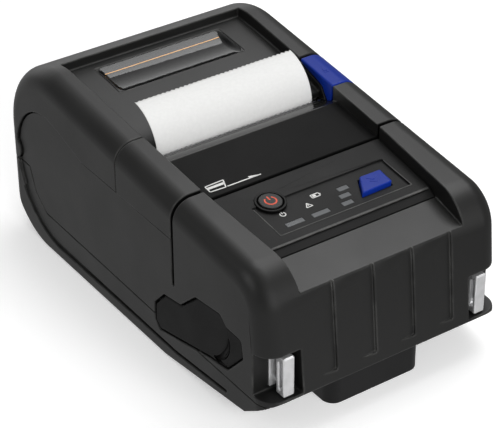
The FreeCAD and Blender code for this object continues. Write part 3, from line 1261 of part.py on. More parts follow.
web_in = D.platen_r + D.move_gap
web_out = web_in + D.paper_thick
gap_y = (D.roll_y - D.platen_y).value
gap_z = (D.platen_z - roll_z).value
reach = math.hypot(gap_y, gap_z)
web_lift = (D.roll_r + D.move_gap).value
fall = math.asin((web_lift + web_out.value) / reach) - math.atan2(gap_z, gap_y)
web_normal = FreeCAD.Vector(-math.sin(fall), math.cos(fall), 0)
roll_spot = FreeCAD.Vector(D.roll_y.value, roll_z.value, 0) + web_normal * web_lift
roll_spot_top = roll_spot + web_normal * D.paper_thick.value
turn_spot = FreeCAD.Vector(D.platen_y.value, D.platen_z.value, 0) - web_normal * web_out.value
turn_spot_top = turn_spot + web_normal * D.paper_thick.value
nip_y = D.platen_y - web_in
web = prism("paper_web", "YZ", [
    (roll_spot.x, roll_spot.y), (roll_spot_top.x, roll_spot_top.y),
    (turn_spot_top.x, turn_spot_top.y), (nip_y, D.platen_z, -web_in),
    (nip_y - D.paper_thick, D.platen_z), (turn_spot.x, turn_spot.y, web_out)],
    (-D.paper_half, D.paper_half))
keep("paper_web", web)

curl_y = nip_y + D.curl_r
curl_out = D.curl_r + D.paper_thick
end_cos = cosine(D.curl_angle)
end_sin = sine(D.curl_angle)
keep("paper_strip", prism("paper_strip", "YZ", [
    (nip_y - D.paper_thick, D.platen_z + 0.4), (nip_y, D.platen_z + 0.4), (nip_y, D.strip_turn),
    (curl_y - D.curl_r * end_cos, D.strip_turn + D.curl_r * end_sin, -D.curl_r),
    (curl_y - curl_out * end_cos, D.strip_turn + curl_out * end_sin),
    (nip_y - D.paper_thick, D.strip_turn, curl_out)], (-D.paper_half, D.paper_half)))

# Card guide under the slot, with the read head in its front wall
guide_half = half_width - D.side_wall - 3 * D.move_gap
guide_front = slot_front - GUIDE_WALL
guide_block = box("guide_block", (-guide_half, guide_half), (guide_front, slot_rear + GUIDE_WALL),
                  (D.slot_floor - GUIDE_WALL, panel(guide_front) - D.wall - D.seam))
guide_gap = box("guide_gap", (-half_width, half_width), (slot_front, slot_rear), (D.slot_floor, FAR))
reader = (size(9.0), D.slot_floor + 9.0)
READER_HALF = 3.6
reader_room = READER_HALF + 0.4
reader_front = slot_front - 5.0
head_room = box("card_head_room", (reader[0] - reader_room, reader[0] + reader_room),
                (guide_front - 1, slot_front + 0.1), (reader[1] - reader_room, reader[1] + reader_room))
keep("card_guide", cut("card_guide", guide_block, guide_gap, head_room))
keep("card_head", box("card_head", (reader[0] - READER_HALF, reader[0] + READER_HALF),
                      (reader_front, slot_front - 0.1), (reader[1] - READER_HALF, reader[1] + READER_HALF)))
LEAF_HALF = 9.0
LEAF_RISE = 2.0
leaf_z = (reader[1] - LEAF_RISE, reader[1] + LEAF_RISE)
leaf = box("leaf", (reader[0] - LEAF_HALF, reader[0] + LEAF_HALF), (reader_front - 0.9, reader_front - 0.5),
           leaf_z)
leaf_pad = box("leaf_pad", (reader[0] - 2, reader[0] + 2), (reader_front - 0.5, reader_front),
               (reader[1] - 1, reader[1] + 1))
leaf_legs = []
for number, x in enumerate((reader[0] - LEAF_HALF, reader[0] + LEAF_HALF - 1)):
    leaf_legs.append(box("leaf_leg%d" % number, (x, x + 1), (reader_front - 0.6, guide_front), leaf_z))
keep("card_head_spring", fuse("card_head_spring", leaf, leaf_pad, *leaf_legs))

doc.recompute()
failed = [item.Name for item in doc.Objects if "Invalid" in item.State or "Error" in item.State]
if failed:
    raise RuntimeError("failed objects: " + ", ".join(failed))
for node, item in parts:
    if item.Shape.isNull() or not item.Shape.isValid() or not item.Shape.Solids:
        raise RuntimeError("bad shape: " + node)
for node, item in parts:
    item.Shape.exportStep("parts/%s.step" % node)
    room = item.Shape.BoundBox
    print("%-18s solids %2d  volume %9.1f  x %6.1f %6.1f  y %6.1f %6.1f  z %6.1f %6.1f" % (
        node, len(item.Shape.Solids), item.Shape.Volume, room.XMin, room.XMax, room.YMin, room.YMax,
        room.ZMin, room.ZMax))
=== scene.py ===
"""Looks of a portable receipt printer, built around its packed construction model."""
import logging
import math
from dataclasses import dataclass, field
from enum import Enum
from typing import Callable, Mapping, Optional, Sequence

import bmesh
import bpy
from mathutils import Matrix, Vector


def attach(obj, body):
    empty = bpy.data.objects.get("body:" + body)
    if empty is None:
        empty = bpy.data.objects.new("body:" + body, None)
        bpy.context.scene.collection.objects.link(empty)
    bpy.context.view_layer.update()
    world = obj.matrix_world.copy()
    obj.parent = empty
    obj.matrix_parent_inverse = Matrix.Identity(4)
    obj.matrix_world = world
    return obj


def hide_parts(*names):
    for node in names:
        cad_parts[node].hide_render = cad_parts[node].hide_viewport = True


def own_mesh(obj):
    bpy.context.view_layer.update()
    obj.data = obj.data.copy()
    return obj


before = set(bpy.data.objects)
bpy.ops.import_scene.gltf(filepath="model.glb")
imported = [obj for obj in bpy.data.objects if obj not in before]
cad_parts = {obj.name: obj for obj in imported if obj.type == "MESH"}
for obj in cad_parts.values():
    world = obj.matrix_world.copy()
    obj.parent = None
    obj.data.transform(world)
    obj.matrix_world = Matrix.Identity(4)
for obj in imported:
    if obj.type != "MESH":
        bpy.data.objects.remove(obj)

LOG = logging.getLogger("receipt_printer")
MM = 0.001
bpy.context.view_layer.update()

Colour = tuple[float, float, float]
Point = tuple[float, float, float]
Flat = tuple[float, float]
Outline = Sequence[Flat]
Node = bpy.types.Node
Piece = bpy.types.Object
Socket = bpy.types.NodeSocket
Sockets = Mapping[str, Socket]
Tree = bpy.types.NodeTree

NUMBER = "NodeSocketFloat"
COLOUR = "NodeSocketColor"
VECTOR = "NodeSocketVector"
SHARE = (0.0, 1.0)
PATCH_SPAN = (0.3, 0.7)
DUST_GREY = (0.5, 0.49, 0.47)
SAME_SPOT = 0.000002
SAME_PLANE = math.radians(0.2)
MIX_FACTOR, MIX_FIRST, MIX_SECOND, MIX_RESULT = 0, 6, 7, 2
DRIFT_SHARE = 0.7
SPECK_SHARE = 0.3
BOARD_TOP = 17.6
MARK_SINK = 0.05
MARK_THICK = 0.15


class Body(Enum):
    """The bodies of the printer that a piece can ride on."""

    CASE = "case"
    LID = "lid"
    LEVER = "lever"
    POWER_KEY = "power_key"
    FEED_KEY = "feed_key"
    COVER = "cover"


class Weave(Enum):
    """The ways in which fine lines run over a metal surface."""

    ALONG_X = (6.0, 900.0, 900.0)
    ALONG_Z = (900.0, 900.0, 6.0)
    NONE = (300.0, 300.0, 300.0)


def mm(*values: float) -> Vector:
    """Return a vector in metres from values in millimetres."""
    return Vector(value * MM for value in values)


def clamp(value: float) -> float:
    """Return a value, kept between 0 and 1."""
    return min(max(value, 0.0), 1.0)


def around(middle: Flat, radius: float, turn: float) -> Flat:
    """Return the point of a circle at an angle in radians."""
    return middle[0] + radius * math.cos(turn), middle[1] + radius * math.sin(turn)


def shaded(colour: Colour, share: float) -> Colour:
    """Return a colour that is darkened to a share of itself."""
    return tuple(share * part for part in colour)


@dataclass(frozen=True)
class Slope:
    """The sloping deck between the rails."""

    base: float = 56.7
    angle: float = 6.0

    def spot(self, x: float, y: float, lift: float = 0.0) -> Vector:
        """Return a place over the deck.

        Args:
            x: Place across the deck in millimetres.
            y: Place along the deck, from the point over the origin.
            lift: Height over the deck, square to it.

        Returns:
            The place in metres.
        """
        sine = math.sin(math.radians(self.angle))
        cosine = math.cos(math.radians(self.angle))
        return mm(x, y * cosine - lift * sine, self.base + y * sine + lift * cosine)


DECK = Slope()
RAIL = Slope(base=60.9)


class Wires:
    """Adds nodes to one tree and joins their sockets."""

    def __init__(self, tree: Tree) -> None:
        """Keep the tree that the nodes go to."""
        self.tree = tree

    def add(self, kind: str, inputs: Optional[dict[object, object]] = None, **settings: object) -> Node:
        """Add a node.

        Args:
            kind: Blender's name of the node type.
            inputs: What goes into its inputs, by their names or numbers.
            settings: Properties of the node.

        Returns:
            The new node.
        """
        node = self.tree.nodes.new(kind)
        for name, value in settings.items():
            setattr(node, name, value)
        for name, value in (inputs or {}).items():
            self.join(value, node.inputs[name])
        return node

    def join(self, value: object, socket: Socket) -> None:
        """Feed an input.

        Args:
            value: An output to join it to, or a number, vector or colour to set it to.
            socket: The input.
        """
        if isinstance(value, Socket):
            self.tree.links.new(value, socket)
        elif socket.type == "RGBA":
            socket.default_value = (*value, 1.0)
        else:
            socket.default_value = value

    def maths(self, kind: str, first: object, second: object) -> Socket:
        """Return the result of an operation on two sockets or numbers."""
        return self.add("ShaderNodeMath", {0: first, 1: second}, operation=kind).outputs[0]

    def mix(self, factor: Socket, first: object, second: object) -> Socket:
        """Return a mix of two colours or sockets, with the share of the second."""
        inputs = {MIX_FACTOR: factor, MIX_FIRST: first, MIX_SECOND: second}
        return self.add("ShaderNodeMix", inputs, data_type="RGBA").outputs[MIX_RESULT]

    def spread(self, value: Socket, low: Flat, high: Flat = SHARE) -> Socket:
        """Return a value that is mapped from the range low to the range high."""
        span = {"From Min": low[0], "From Max": low[1], "To Min": high[0], "To Max": high[1]}
        return self.add("ShaderNodeMapRange", {"Value": value, **span}).outputs["Result"]

    def noise(self, scale: object, detail: float = 2.0, stretch: object = None) -> Socket:
        """Add noise on Object coordinates.

        Args:
            scale: Cells per metre, a number or a socket.
            detail: Octaves of the noise.
            stretch: A further scale along each axis, a vector or a socket.

        Returns:
            The noise value.
        """
        place = self.add("ShaderNodeTexCoord").outputs["Object"]
        if stretch is not None:
            place = self.add("ShaderNodeMapping", {"Vector": place, "Scale": stretch}).outputs[0]
        return self.add("ShaderNodeTexNoise", {"Vector": place, "Scale": scale, "Detail": detail}).outputs[0]

    def patches(self, scale: float, detail: float = 2.0) -> Socket:
        """Return noise that is spread over the range from 0 to 1."""
        return self.spread(self.noise(scale, detail), PATCH_SPAN)

    def parts(self, kind: str, name: str) -> Sockets:
        """Return X, Y and Z of a vector that a kind of node puts out."""
        return self.add("ShaderNodeSeparateXYZ", {0: self.add(kind).outputs[name]}).outputs


def add_sockets(tree: Tree, inputs: Sequence[tuple[str, str]], outputs: Sequence[tuple[str, str]]) -> None:
    """Give a node group its sockets.

    Args:
        tree: The group.
        inputs: Names and kinds of its inputs.
        outputs: Names and kinds of its outputs.
    """
    for way, sockets in (("INPUT", inputs), ("OUTPUT", outputs)):
        for name, kind in sockets:
            tree.interface.new_socket(name, in_out=way, socket_type=kind)


class Effect(Enum):
    """Surface effects that several finishes share: name, inputs and outputs of a shader node group."""

    GRAIN = ("moulded_grain", (("Scale", NUMBER), ("Low", NUMBER), ("High", NUMBER)),
             (("Height", NUMBER), ("Roughness", NUMBER)))
    # Paler edges, which paint both handled wear and a highlight.
    WEAR = ("edge_wear", (("Base", COLOUR), ("Worn", COLOUR), ("Radius", NUMBER), ("Amount", NUMBER)),
            (("Color", COLOUR),))
    DUST = ("settled_dust", (("Base", COLOUR), ("Dust", COLOUR), ("Amount", NUMBER)), (("Color", COLOUR),))
    LINES = ("drawn_lines", (("Stretch", VECTOR), ("Low", NUMBER), ("High", NUMBER)),
             (("Height", NUMBER), ("Roughness", NUMBER)))

    def group(self) -> Tree:
        """Find the effect's node group, or build it on first use.

        Returns:
            The group.
        """
        name, inputs, outputs = self.value
        found = bpy.data.node_groups.get(name)
        if found:
            return found
        tree = bpy.data.node_groups.new(name, "ShaderNodeTree")
        add_sockets(tree, inputs, outputs)
        wires = Wires(tree)
        results = EFFECT_WIRING[self](wires, wires.add("NodeGroupInput").outputs)
        wires.add("NodeGroupOutput", dict(enumerate(results)))
        return tree


def between(wires: Wires, share: Socket, start: Sockets) -> Socket:
    """Return the value at a share of the way from a group's low input to its high one."""
    reach = wires.maths("SUBTRACT", start["High"], start["Low"])
    return wires.maths("ADD", start["Low"], wires.maths("MULTIPLY", share, reach))


def wire_grain(wires: Wires, start: Sockets) -> tuple[Socket, ...]:
    """Wire the spark-eroded grain of a mould.

    Args:
        wires: The group's wires.
        start: The group's inputs.

    Returns:
        The height of the grain, and a roughness that drifts over the part.
    """
    fine = wires.noise(start["Scale"], detail=3.0)
    drift = wires.maths("MULTIPLY", wires.patches(scale=55.0, detail=4.0), DRIFT_SHARE)
    speck = wires.maths("MULTIPLY", wires.spread(fine, low=(0.35, 0.65)), SPECK_SHARE)
    return fine, between(wires, wires.maths("ADD", drift, speck), start)


def wire_edge_wear_and_highlight(wires: Wires, start: Sockets) -> tuple[Socket, ...]:
    """Wire paler edges: handled wear, and, where the edge colour is pale, a painted highlight.

    Args:
        wires: The group's wires.
        start: The group's inputs.

    Returns:
        The base colour, with the paler edge colour along the edges, which paints both wear and highlight.
    """
    bevel = wires.add("ShaderNodeBevel", {"Radius": start["Radius"]}, samples=4)
    normal = wires.add("ShaderNodeNewGeometry").outputs["Normal"]
    facing = wires.add("ShaderNodeVectorMath", {0: bevel.outputs[0], 1: normal}, operation="DOT_PRODUCT")
    edge = wires.spread(facing.outputs["Value"], low=(0.995, 0.85))
    patch = wires.spread(wires.noise(scale=160.0, detail=3.0), low=(0.4, 0.6), high=(0.25, 1.0))
    share = wires.maths("MULTIPLY", wires.maths("MULTIPLY", edge, patch), start["Amount"])
    return (wires.mix(share, start["Base"], start["Worn"]),)


def wire_dust(wires: Wires, start: Sockets) -> tuple[Socket, ...]:
    """Wire a thin film of dust on faces that look up.

    Args:
        wires: The group's wires.
        start: The group's inputs.

    Returns:
        The base colour, lighter where dust lies.
    """
    upward = wires.spread(wires.parts("ShaderNodeNewGeometry", "Normal")["Z"], low=(0.3, 1.0))
    cloud = wires.spread(wires.noise(scale=70.0, detail=5.0), low=(0.35, 0.75), high=(0.2, 1.0))
    share = wires.maths("MULTIPLY", wires.maths("MULTIPLY", upward, cloud), start["Amount"])
    return (wires.mix(share, start["Base"], start["Dust"]),)


def wire_lines(wires: Wires, start: Sockets) -> tuple[Socket, ...]:
    """Return the height and the roughness of the fine drawing lines of metal."""
    lines = wires.noise(scale=4.0, detail=3.0, stretch=start["Stretch"])
    return lines, between(wires, lines, start)


EFFECT_WIRING: dict[Effect, Callable[[Wires, Sockets], tuple[Socket, ...]]] = {
    Effect.GRAIN: wire_grain, Effect.WEAR: wire_edge_wear_and_highlight, Effect.DUST: wire_dust, Effect.LINES: wire_lines}


class Surface:
    """A material under construction: its wires and its Principled shader."""

    def __init__(self, name: str) -> None:
        """Start a material.

        Args:
            name: The material's name.
        """
        self.material = bpy.data.materials.new(name)
        self.material.use_nodes = True
        self.wires = Wires(self.material.node_tree)
        self.shader = self.material.node_tree.nodes["Principled BSDF"]

    def effect(self, effect: Effect, **values: object) -> Sockets:
        """Return the outputs of a shared effect, with a value or socket for each of its inputs."""
        return self.wires.add("ShaderNodeGroup", values, node_tree=effect.group()).outputs

    def feed(self, **values: object) -> None:
        """Feed inputs of the shader, with _ for a blank in a name."""
        for name, value in values.items():
            self.wires.join(value, self.shader.inputs[name.replace("_", " ")])

    def bump(self, height: Socket, depth: float) -> None:
        """Give the surface relief of a height from 0 to 1, where 1 stands for a depth in metres."""
        relief = self.wires.add("ShaderNodeBump", {"Strength": 1.0, "Distance": depth, "Height": height})
        self.feed(Normal=relief.outputs[0])

    def roughen(self, scale: float, rough: Flat) -> Socket:
        """Give the surface the roughness of a mould's grain.

        Args:
            scale: Grains per metre.
            rough: The lowest and the highest roughness.

        Returns:
            The height of the grain.
        """
        grain = self.effect(Effect.GRAIN, Scale=scale, Low=rough[0], High=rough[1])
        self.feed(Roughness=grain["Roughness"])
        return grain["Height"]

    def mottle(self, colour: Colour, darkest: float, scale: float) -> Socket:
        """Give the surface a colour that drifts.

        Args:
            colour: The colour.
            darkest: The share of it that the darkest patches keep.
            scale: Patches per metre.

        Returns:
            The mask of the patches.
        """
        mask = self.wires.patches(scale, detail=3.0)
        self.feed(Base_Color=self.wires.mix(mask, colour, shaded(colour, darkest)))
        return mask


@dataclass(frozen=True)
class Finish:
    """A surface finish, which makes its material once."""

    name: str
    colour: Colour

    def material(self) -> bpy.types.Material:
        """Find the finish's material, or build it on first use.

        Returns:
            The material.
        """
        own_name = "look_" + self.name
        found = bpy.data.materials.get(own_name)
        if found:
            return found
        surface = Surface(own_name)
        self.build(surface)
        return surface.material

    def build(self, surface: Surface) -> None:
        """Wire the finish up on a surface."""
        raise NotImplementedError


@dataclass(frozen=True)
class Moulded(Finish):
    """Moulded plastic or rubber with grain, paler edges for wear and painted highlight, and a little dust."""

    rough: Flat = (0.36, 0.46)
    grain: float = 3800.0
    relief: float = 0.00001
    worn: Colour = (0.03, 0.03, 0.03)
    wear: float = 0.35
    edge: float = 0.0004
    dust: float = 0.004
    gloss: float = 0.5
    coat: float = 0.0

    def build(self, surface: Surface) -> None:
        """Wire the plastic up.

        Args:
            surface: The material to wire.
        """
        # Paler edges: handled wear, and on the case a painted highlight along every edge.
        wear = surface.effect(Effect.WEAR, Base=self.colour, Worn=self.worn, Radius=self.edge,
                              Amount=self.wear)
        dust = surface.effect(Effect.DUST, Base=wear["Color"], Dust=DUST_GREY, Amount=self.dust)
        surface.bump(surface.roughen(self.grain, self.rough), self.relief)
        surface.feed(Base_Color=dust["Color"], Specular_IOR_Level=self.gloss, Coat_Weight=self.coat,
                     Coat_Roughness=0.08)


@dataclass(frozen=True)
class Metal(Finish):
    """Bare or plated metal with drawing lines."""

    rough: Flat = (0.2, 0.35)
    weave: Weave = Weave.NONE
    relief: float = 0.000004
    share: float = 1.0

    def build(self, surface: Surface) -> None:
        """Wire the metal up.

        Args:
            surface: The material to wire.
        """
        lines = surface.effect(Effect.LINES, Stretch=self.weave.value, Low=self.rough[0], High=self.rough[1])
        surface.mottle(self.colour, darkest=0.86, scale=400.0)
        surface.bump(lines["Height"], self.relief)
        surface.feed(Roughness=lines["Roughness"], Metallic=self.share)


@dataclass(frozen=True)
class Clear(Finish):
    """Smoked plastic with faint ripples."""

    rough: Flat = (0.03, 0.08)
    ripples: float = 300.0
    relief: float = 0.00002

    def build(self, surface: Surface) -> None:
        """Wire the clear plastic up.

        Args:
            surface: The material to wire.
        """
        surface.bump(surface.roughen(self.ripples, self.rough), self.relief)
        surface.mottle(self.colour, darkest=0.8, scale=90.0)
        surface.feed(IOR=1.56, Transmission_Weight=1.0)


@dataclass(frozen=True)
class PaperStock(Finish):
    """Thermal paper with faint fibres, wound into a roll where rings are given."""

    rings: float = 0.0
    axis: Flat = (0.0415, 0.0288)
    fibres: Point = (900.0, 1400.0, 900.0)
    fibre_shade: float = 0.955
    ring_shade: float = 0.8
    grain: float = 2500.0
    rough: Flat = (0.62, 0.78)
    relief: float = 0.00002

    def build(self, surface: Surface) -> None:
        """Wire the paper up.

        Args:
            surface: The material to wire.
        """
        wires = surface.wires
        fibre = wires.noise(1.0, detail=4.0, stretch=self.fibres)
        patches = wires.spread(fibre, PATCH_SPAN)
        colour = wires.mix(patches, self.colour, shaded(self.colour, self.fibre_shade))
        if self.rings > 0.0:
            colour = wires.mix(self.windings(wires), colour, shaded(self.colour, self.ring_shade))
        surface.roughen(self.grain, self.rough)
        surface.bump(fibre, self.relief)
        surface.feed(Base_Color=colour, Specular_IOR_Level=0.3)

    def windings(self, wires: Wires) -> Socket:
        """Return a mask of the lines between the windings.

        Args:
            wires: The material's wires.

        Returns:
            1 between two windings, 0 on the edge of the paper.
        """
        spot = wires.parts("ShaderNodeTexCoord", "Object")
        legs = []
        for letter, middle in zip("YZ", self.axis):
            leg = wires.maths("SUBTRACT", spot[letter], middle)
            legs.append(wires.maths("MULTIPLY", leg, leg))
        radius = wires.maths("SQRT", wires.maths("ADD", *legs), 0.0)
        wave = wires.maths("SINE", wires.maths("MULTIPLY", radius, 2.0 * math.pi / self.rings), 0.0)
        return wires.spread(wave, low=(0.2, 1.0))


@dataclass(frozen=True)
class Ink(Finish):
    """Screen-printed ink."""

    rough: Flat = (0.45, 0.6)

    def build(self, surface: Surface) -> None:
        """Wire the ink up.

        Args:
            surface: The material to wire.
        """
        thin = surface.mottle(self.colour, darkest=0.82, scale=2200.0)
        surface.feed(Roughness=surface.wires.spread(thin, SHARE, self.rough))


@dataclass(frozen=True)
class CircuitBoard(Finish):
    """Green board with tracks under its lacquer."""

    track: Colour = (0.05, 0.22, 0.09)
    grain: float = 1500.0
    rough: Flat = (0.25, 0.4)
    relief: float = 0.00003

    def build(self, surface: Surface) -> None:
        """Wire the board up.

        Args:
            surface: The material to wire.
        """
        wires = surface.wires
        tracks = wires.add("ShaderNodeTexBrick", {
            "Vector": wires.add("ShaderNodeTexCoord").outputs["Object"], "Scale": 260.0, "Mortar Size": 0.09,
            "Brick Width": 1.4, "Row Height": 0.35}).outputs["Fac"]
        surface.roughen(self.grain, self.rough)
        surface.bump(tracks, self.relief)
        surface.feed(Base_Color=wires.mix(tracks, self.colour, self.track))


class Finishes:
    """All finishes of the printer."""

    # The case's pale edge colour is a painted highlight along its edges.
    CASE = Moulded("case_satin_black", (0.0075, 0.0075, 0.0072), worn=(0.11, 0.11, 0.105), wear=0.6,
                   edge=0.0009)
    PANEL = Moulded("panel_matt_black", (0.0045, 0.0045, 0.0045), rough=(0.5, 0.6), gloss=0.1, wear=0.2)
    FIELD = Moulded("field_matt_black", (0.006, 0.006, 0.006), rough=(0.5, 0.62), gloss=0.27, wear=0.2)
    BAR = Moulded("bar_gloss_black", (0.008, 0.008, 0.008), rough=(0.14, 0.2), gloss=0.6, wear=0.2)
    BIN = Moulded("bin_black", (0.018, 0.018, 0.018), rough=(0.45, 0.6))
    BATTERY = Moulded("battery_black", (0.007, 0.007, 0.0072), rough=(0.42, 0.55), gloss=0.35)
    GLOSS = Moulded("button_gloss_black", (0.006, 0.006, 0.006), rough=(0.16, 0.24), gloss=0.14, coat=0.08,
                    wear=0.1)
    RING = Moulded("ring_black", (0.003, 0.003, 0.003), rough=(0.12, 0.2), gloss=0.07, wear=0.1)
    SWITCH = Moulded("switch_black", (0.02, 0.02, 0.02), rough=(0.4, 0.5))
    RUBBER = Moulded("rubber_black", (0.006, 0.006, 0.006), rough=(0.5, 0.65), grain=2600.0, gloss=0.2,
                     wear=0.25)
    ROLLER = Moulded("roller_rubber", (0.018, 0.018, 0.02), rough=(0.5, 0.65), gloss=0.35)
    BLUE = Moulded("key_blue", (0.004, 0.025, 0.26), rough=(0.3, 0.38), worn=(0.03, 0.06, 0.4), wear=0.3,
                   gloss=0.2)
    LIGHT = Moulded("light_window", (0.055, 0.06, 0.065), rough=(0.25, 0.35), worn=(0.16, 0.16, 0.16))
    GEAR = Moulded("gear_white", (0.78, 0.77, 0.72), rough=(0.35, 0.45), worn=(0.9, 0.9, 0.86))
    CORE = Moulded("core_card", (0.34, 0.31, 0.26), rough=(0.75, 0.9), grain=900.0, worn=(0.5, 0.46, 0.4),
                   gloss=0.2)
    CERAMIC = Moulded("head_ceramic", (0.72, 0.68, 0.6), rough=(0.15, 0.25), worn=(0.8, 0.78, 0.72))
    WINDOW = Clear("smoked_window", (0.05, 0.055, 0.055))
    # An amber strip that paints a reflection line on the lens.
    AMBER_REFLECTION = Moulded("amber_reflection_line", (0.8, 0.42, 0.16), rough=(0.2, 0.3), worn=(0.9, 0.6, 0.3))
    CHROME = Metal("chrome", (0.93, 0.93, 0.94), rough=(0.06, 0.14), share=0.7)
    STEEL = Metal("steel", (0.56, 0.56, 0.57), rough=(0.28, 0.4), weave=Weave.ALONG_X)
    ALUMINIUM = Metal("aluminium", (0.72, 0.73, 0.74), rough=(0.32, 0.45), weave=Weave.ALONG_X)
    BRASS = Metal("contact_brass", (0.78, 0.6, 0.28), rough=(0.2, 0.32), weave=Weave.ALONG_Z)
    BOARD = CircuitBoard("board_green", (0.012, 0.09, 0.035))
    PAPER = PaperStock("paper", (0.77, 0.77, 0.76))
    ROLL = PaperStock("paper_windings", (0.84, 0.84, 0.84), rings=0.0005)
    WHITE_INK = Ink("ink_white", (0.78, 0.78, 0.76))
    RED_INK = Ink("ink_red", (0.75, 0.09, 0.04))


def dress(piece: Piece, finish: Finish) -> None:
    """Give a whole piece one finish.

    Args:
        piece: The piece.
        finish: Its finish.
    """
    material = finish.material()
    if not piece.data.materials:
        piece.data.materials.append(material)
    for slot in piece.material_slots:
        slot.material = material


def add_piece(name: str, mesh: bpy.types.Mesh) -> Piece:
    """Put a mesh into the scene.

    Args:
        name: The piece's name.
        mesh: Its mesh, in place.

    Returns:
        The new object, at the origin.
    """
    piece = bpy.data.objects.new(name, mesh)
    bpy.context.scene.collection.objects.link(piece)
    return piece


def settle(piece: Piece) -> Piece:
    """Turn a piece's modifiers into plain mesh.

    Args:
        piece: The piece.

    Returns:
        The same piece without modifiers.
    """
    bpy.context.view_layer.update()
    ready = piece.evaluated_get(bpy.context.evaluated_depsgraph_get())
    mesh = bpy.data.meshes.new_from_object(ready)
    piece.modifiers.clear()
    piece.data = mesh
    return piece


def piece_of(name: str, shape: bmesh.types.BMesh) -> Piece:
    """Put a shape into the scene, and free it.

    Args:
        name: The piece's name.
        shape: Its shape, in place.

    Returns:
        The new object, at the origin.
    """
    mesh = bpy.data.meshes.new(name)
    shape.to_mesh(mesh)
    shape.free()
    return add_piece(name, mesh)


def place(piece: Piece, finish: Optional[Finish], body: Body, slot: str, *nodes: str) -> None:
    """Dress a piece, hang it on the empty of its body and hide the nodes that it stands for.

    Args:
        piece: The piece.
        finish: Its finish, or None where it has its materials already.
        body: The body it rides on.
        slot: The record's material slot of its finish; not used.
        nodes: Construction nodes that it stands for.
    """
    if finish is not None:
        dress(piece, finish)
    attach(piece, body.value)
    if nodes:
        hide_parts(*nodes)
    LOG.info("piece %s on %s, %d faces", piece.name, body.value, len(piece.data.polygons))


@dataclass(frozen=True)
class Rounding:
    """How far the edges of a moulded piece are rounded, and from what angle in degrees on."""

    width: float = 0.4
    steps: int = 3
    angle: float = 30.0

    def copy_of(self, node: str, name: str, cutter: Optional[Piece] = None, merged: bool = True) -> Piece:
        """Make a piece from a construction node, with rounded edges.

        Args:
            node: The node.
            name: The new piece's name.
            cutter: A solid to take away from the piece, which is used up.
            merged: Whether triangles in one plane are joined first.

        Returns:
            The new piece.
        """
        shape = bmesh.new()
        shape.from_mesh(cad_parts[node].data)
        bmesh.ops.remove_doubles(shape, verts=shape.verts, dist=SAME_SPOT)
        if merged:
            bmesh.ops.dissolve_limit(shape, angle_limit=SAME_PLANE, verts=shape.verts, edges=shape.edges)
        piece = piece_of(name, shape)
        attributes = piece.data.attributes
        if "custom_normal" in attributes:
            attributes.remove(attributes["custom_normal"])
        return self.shaped(piece, cutter)

    def shaped(self, piece: Piece, cutter: Optional[Piece] = None) -> Piece:
        """Cut a piece and round its edges.

        Args:
            piece: The piece.
            cutter: A solid to take away from it, which is used up.

        Returns:
            The same piece.
        """
        if cutter is not None:
            hole = piece.modifiers.new("hole", "BOOLEAN")
            hole.object = cutter
            hole.operation = "DIFFERENCE"
            hole.solver = "EXACT"
        bevel = piece.modifiers.new("rounding", "BEVEL")
        bevel.width = self.width * MM
        bevel.segments = self.steps
        bevel.limit_method = "ANGLE"
        bevel.angle_limit = math.radians(self.angle)
        bevel.use_clamp_overlap = False
        bevel.miter_outer = "MITER_ARC"
        for face in piece.data.polygons:
            face.use_smooth = True
        weighted = piece.modifiers.new("even_shading", "WEIGHTED_NORMAL")
        weighted.keep_sharp = True
        settle(piece)
        if cutter is not None:
            bpy.data.objects.remove(cutter)
        return piece


class Unit(Enum):
    """Small solids of unit size that rows repeat: kind of node and number of sides."""

    CUBE = ("GeometryNodeMeshCube", 0)
    WEDGE = ("GeometryNodeMeshCylinder", 3)
    ROD = ("GeometryNodeMeshCylinder", 20)

    def add_to(self, wires: Wires) -> Socket:
        """Add the solid to a tree.

        Args:
            wires: The tree's wires.

        Returns:
            The solid's mesh.
        """
        kind, sides = self.value
        sizes = {"Vertices": sides, "Radius": 0.5, "Depth": 1.0} if sides else {}
        return wires.add(kind, sizes).outputs["Mesh"]


ROW_INPUTS = (("Geometry", "NodeSocketGeometry"), ("Count", "NodeSocketInt"), ("Step", VECTOR),
              ("Rows", "NodeSocketInt"), ("Row Step", VECTOR), ("Start", VECTOR), ("Size", VECTOR),
              ("Turn", VECTOR), ("Finish", "NodeSocketMaterial"))


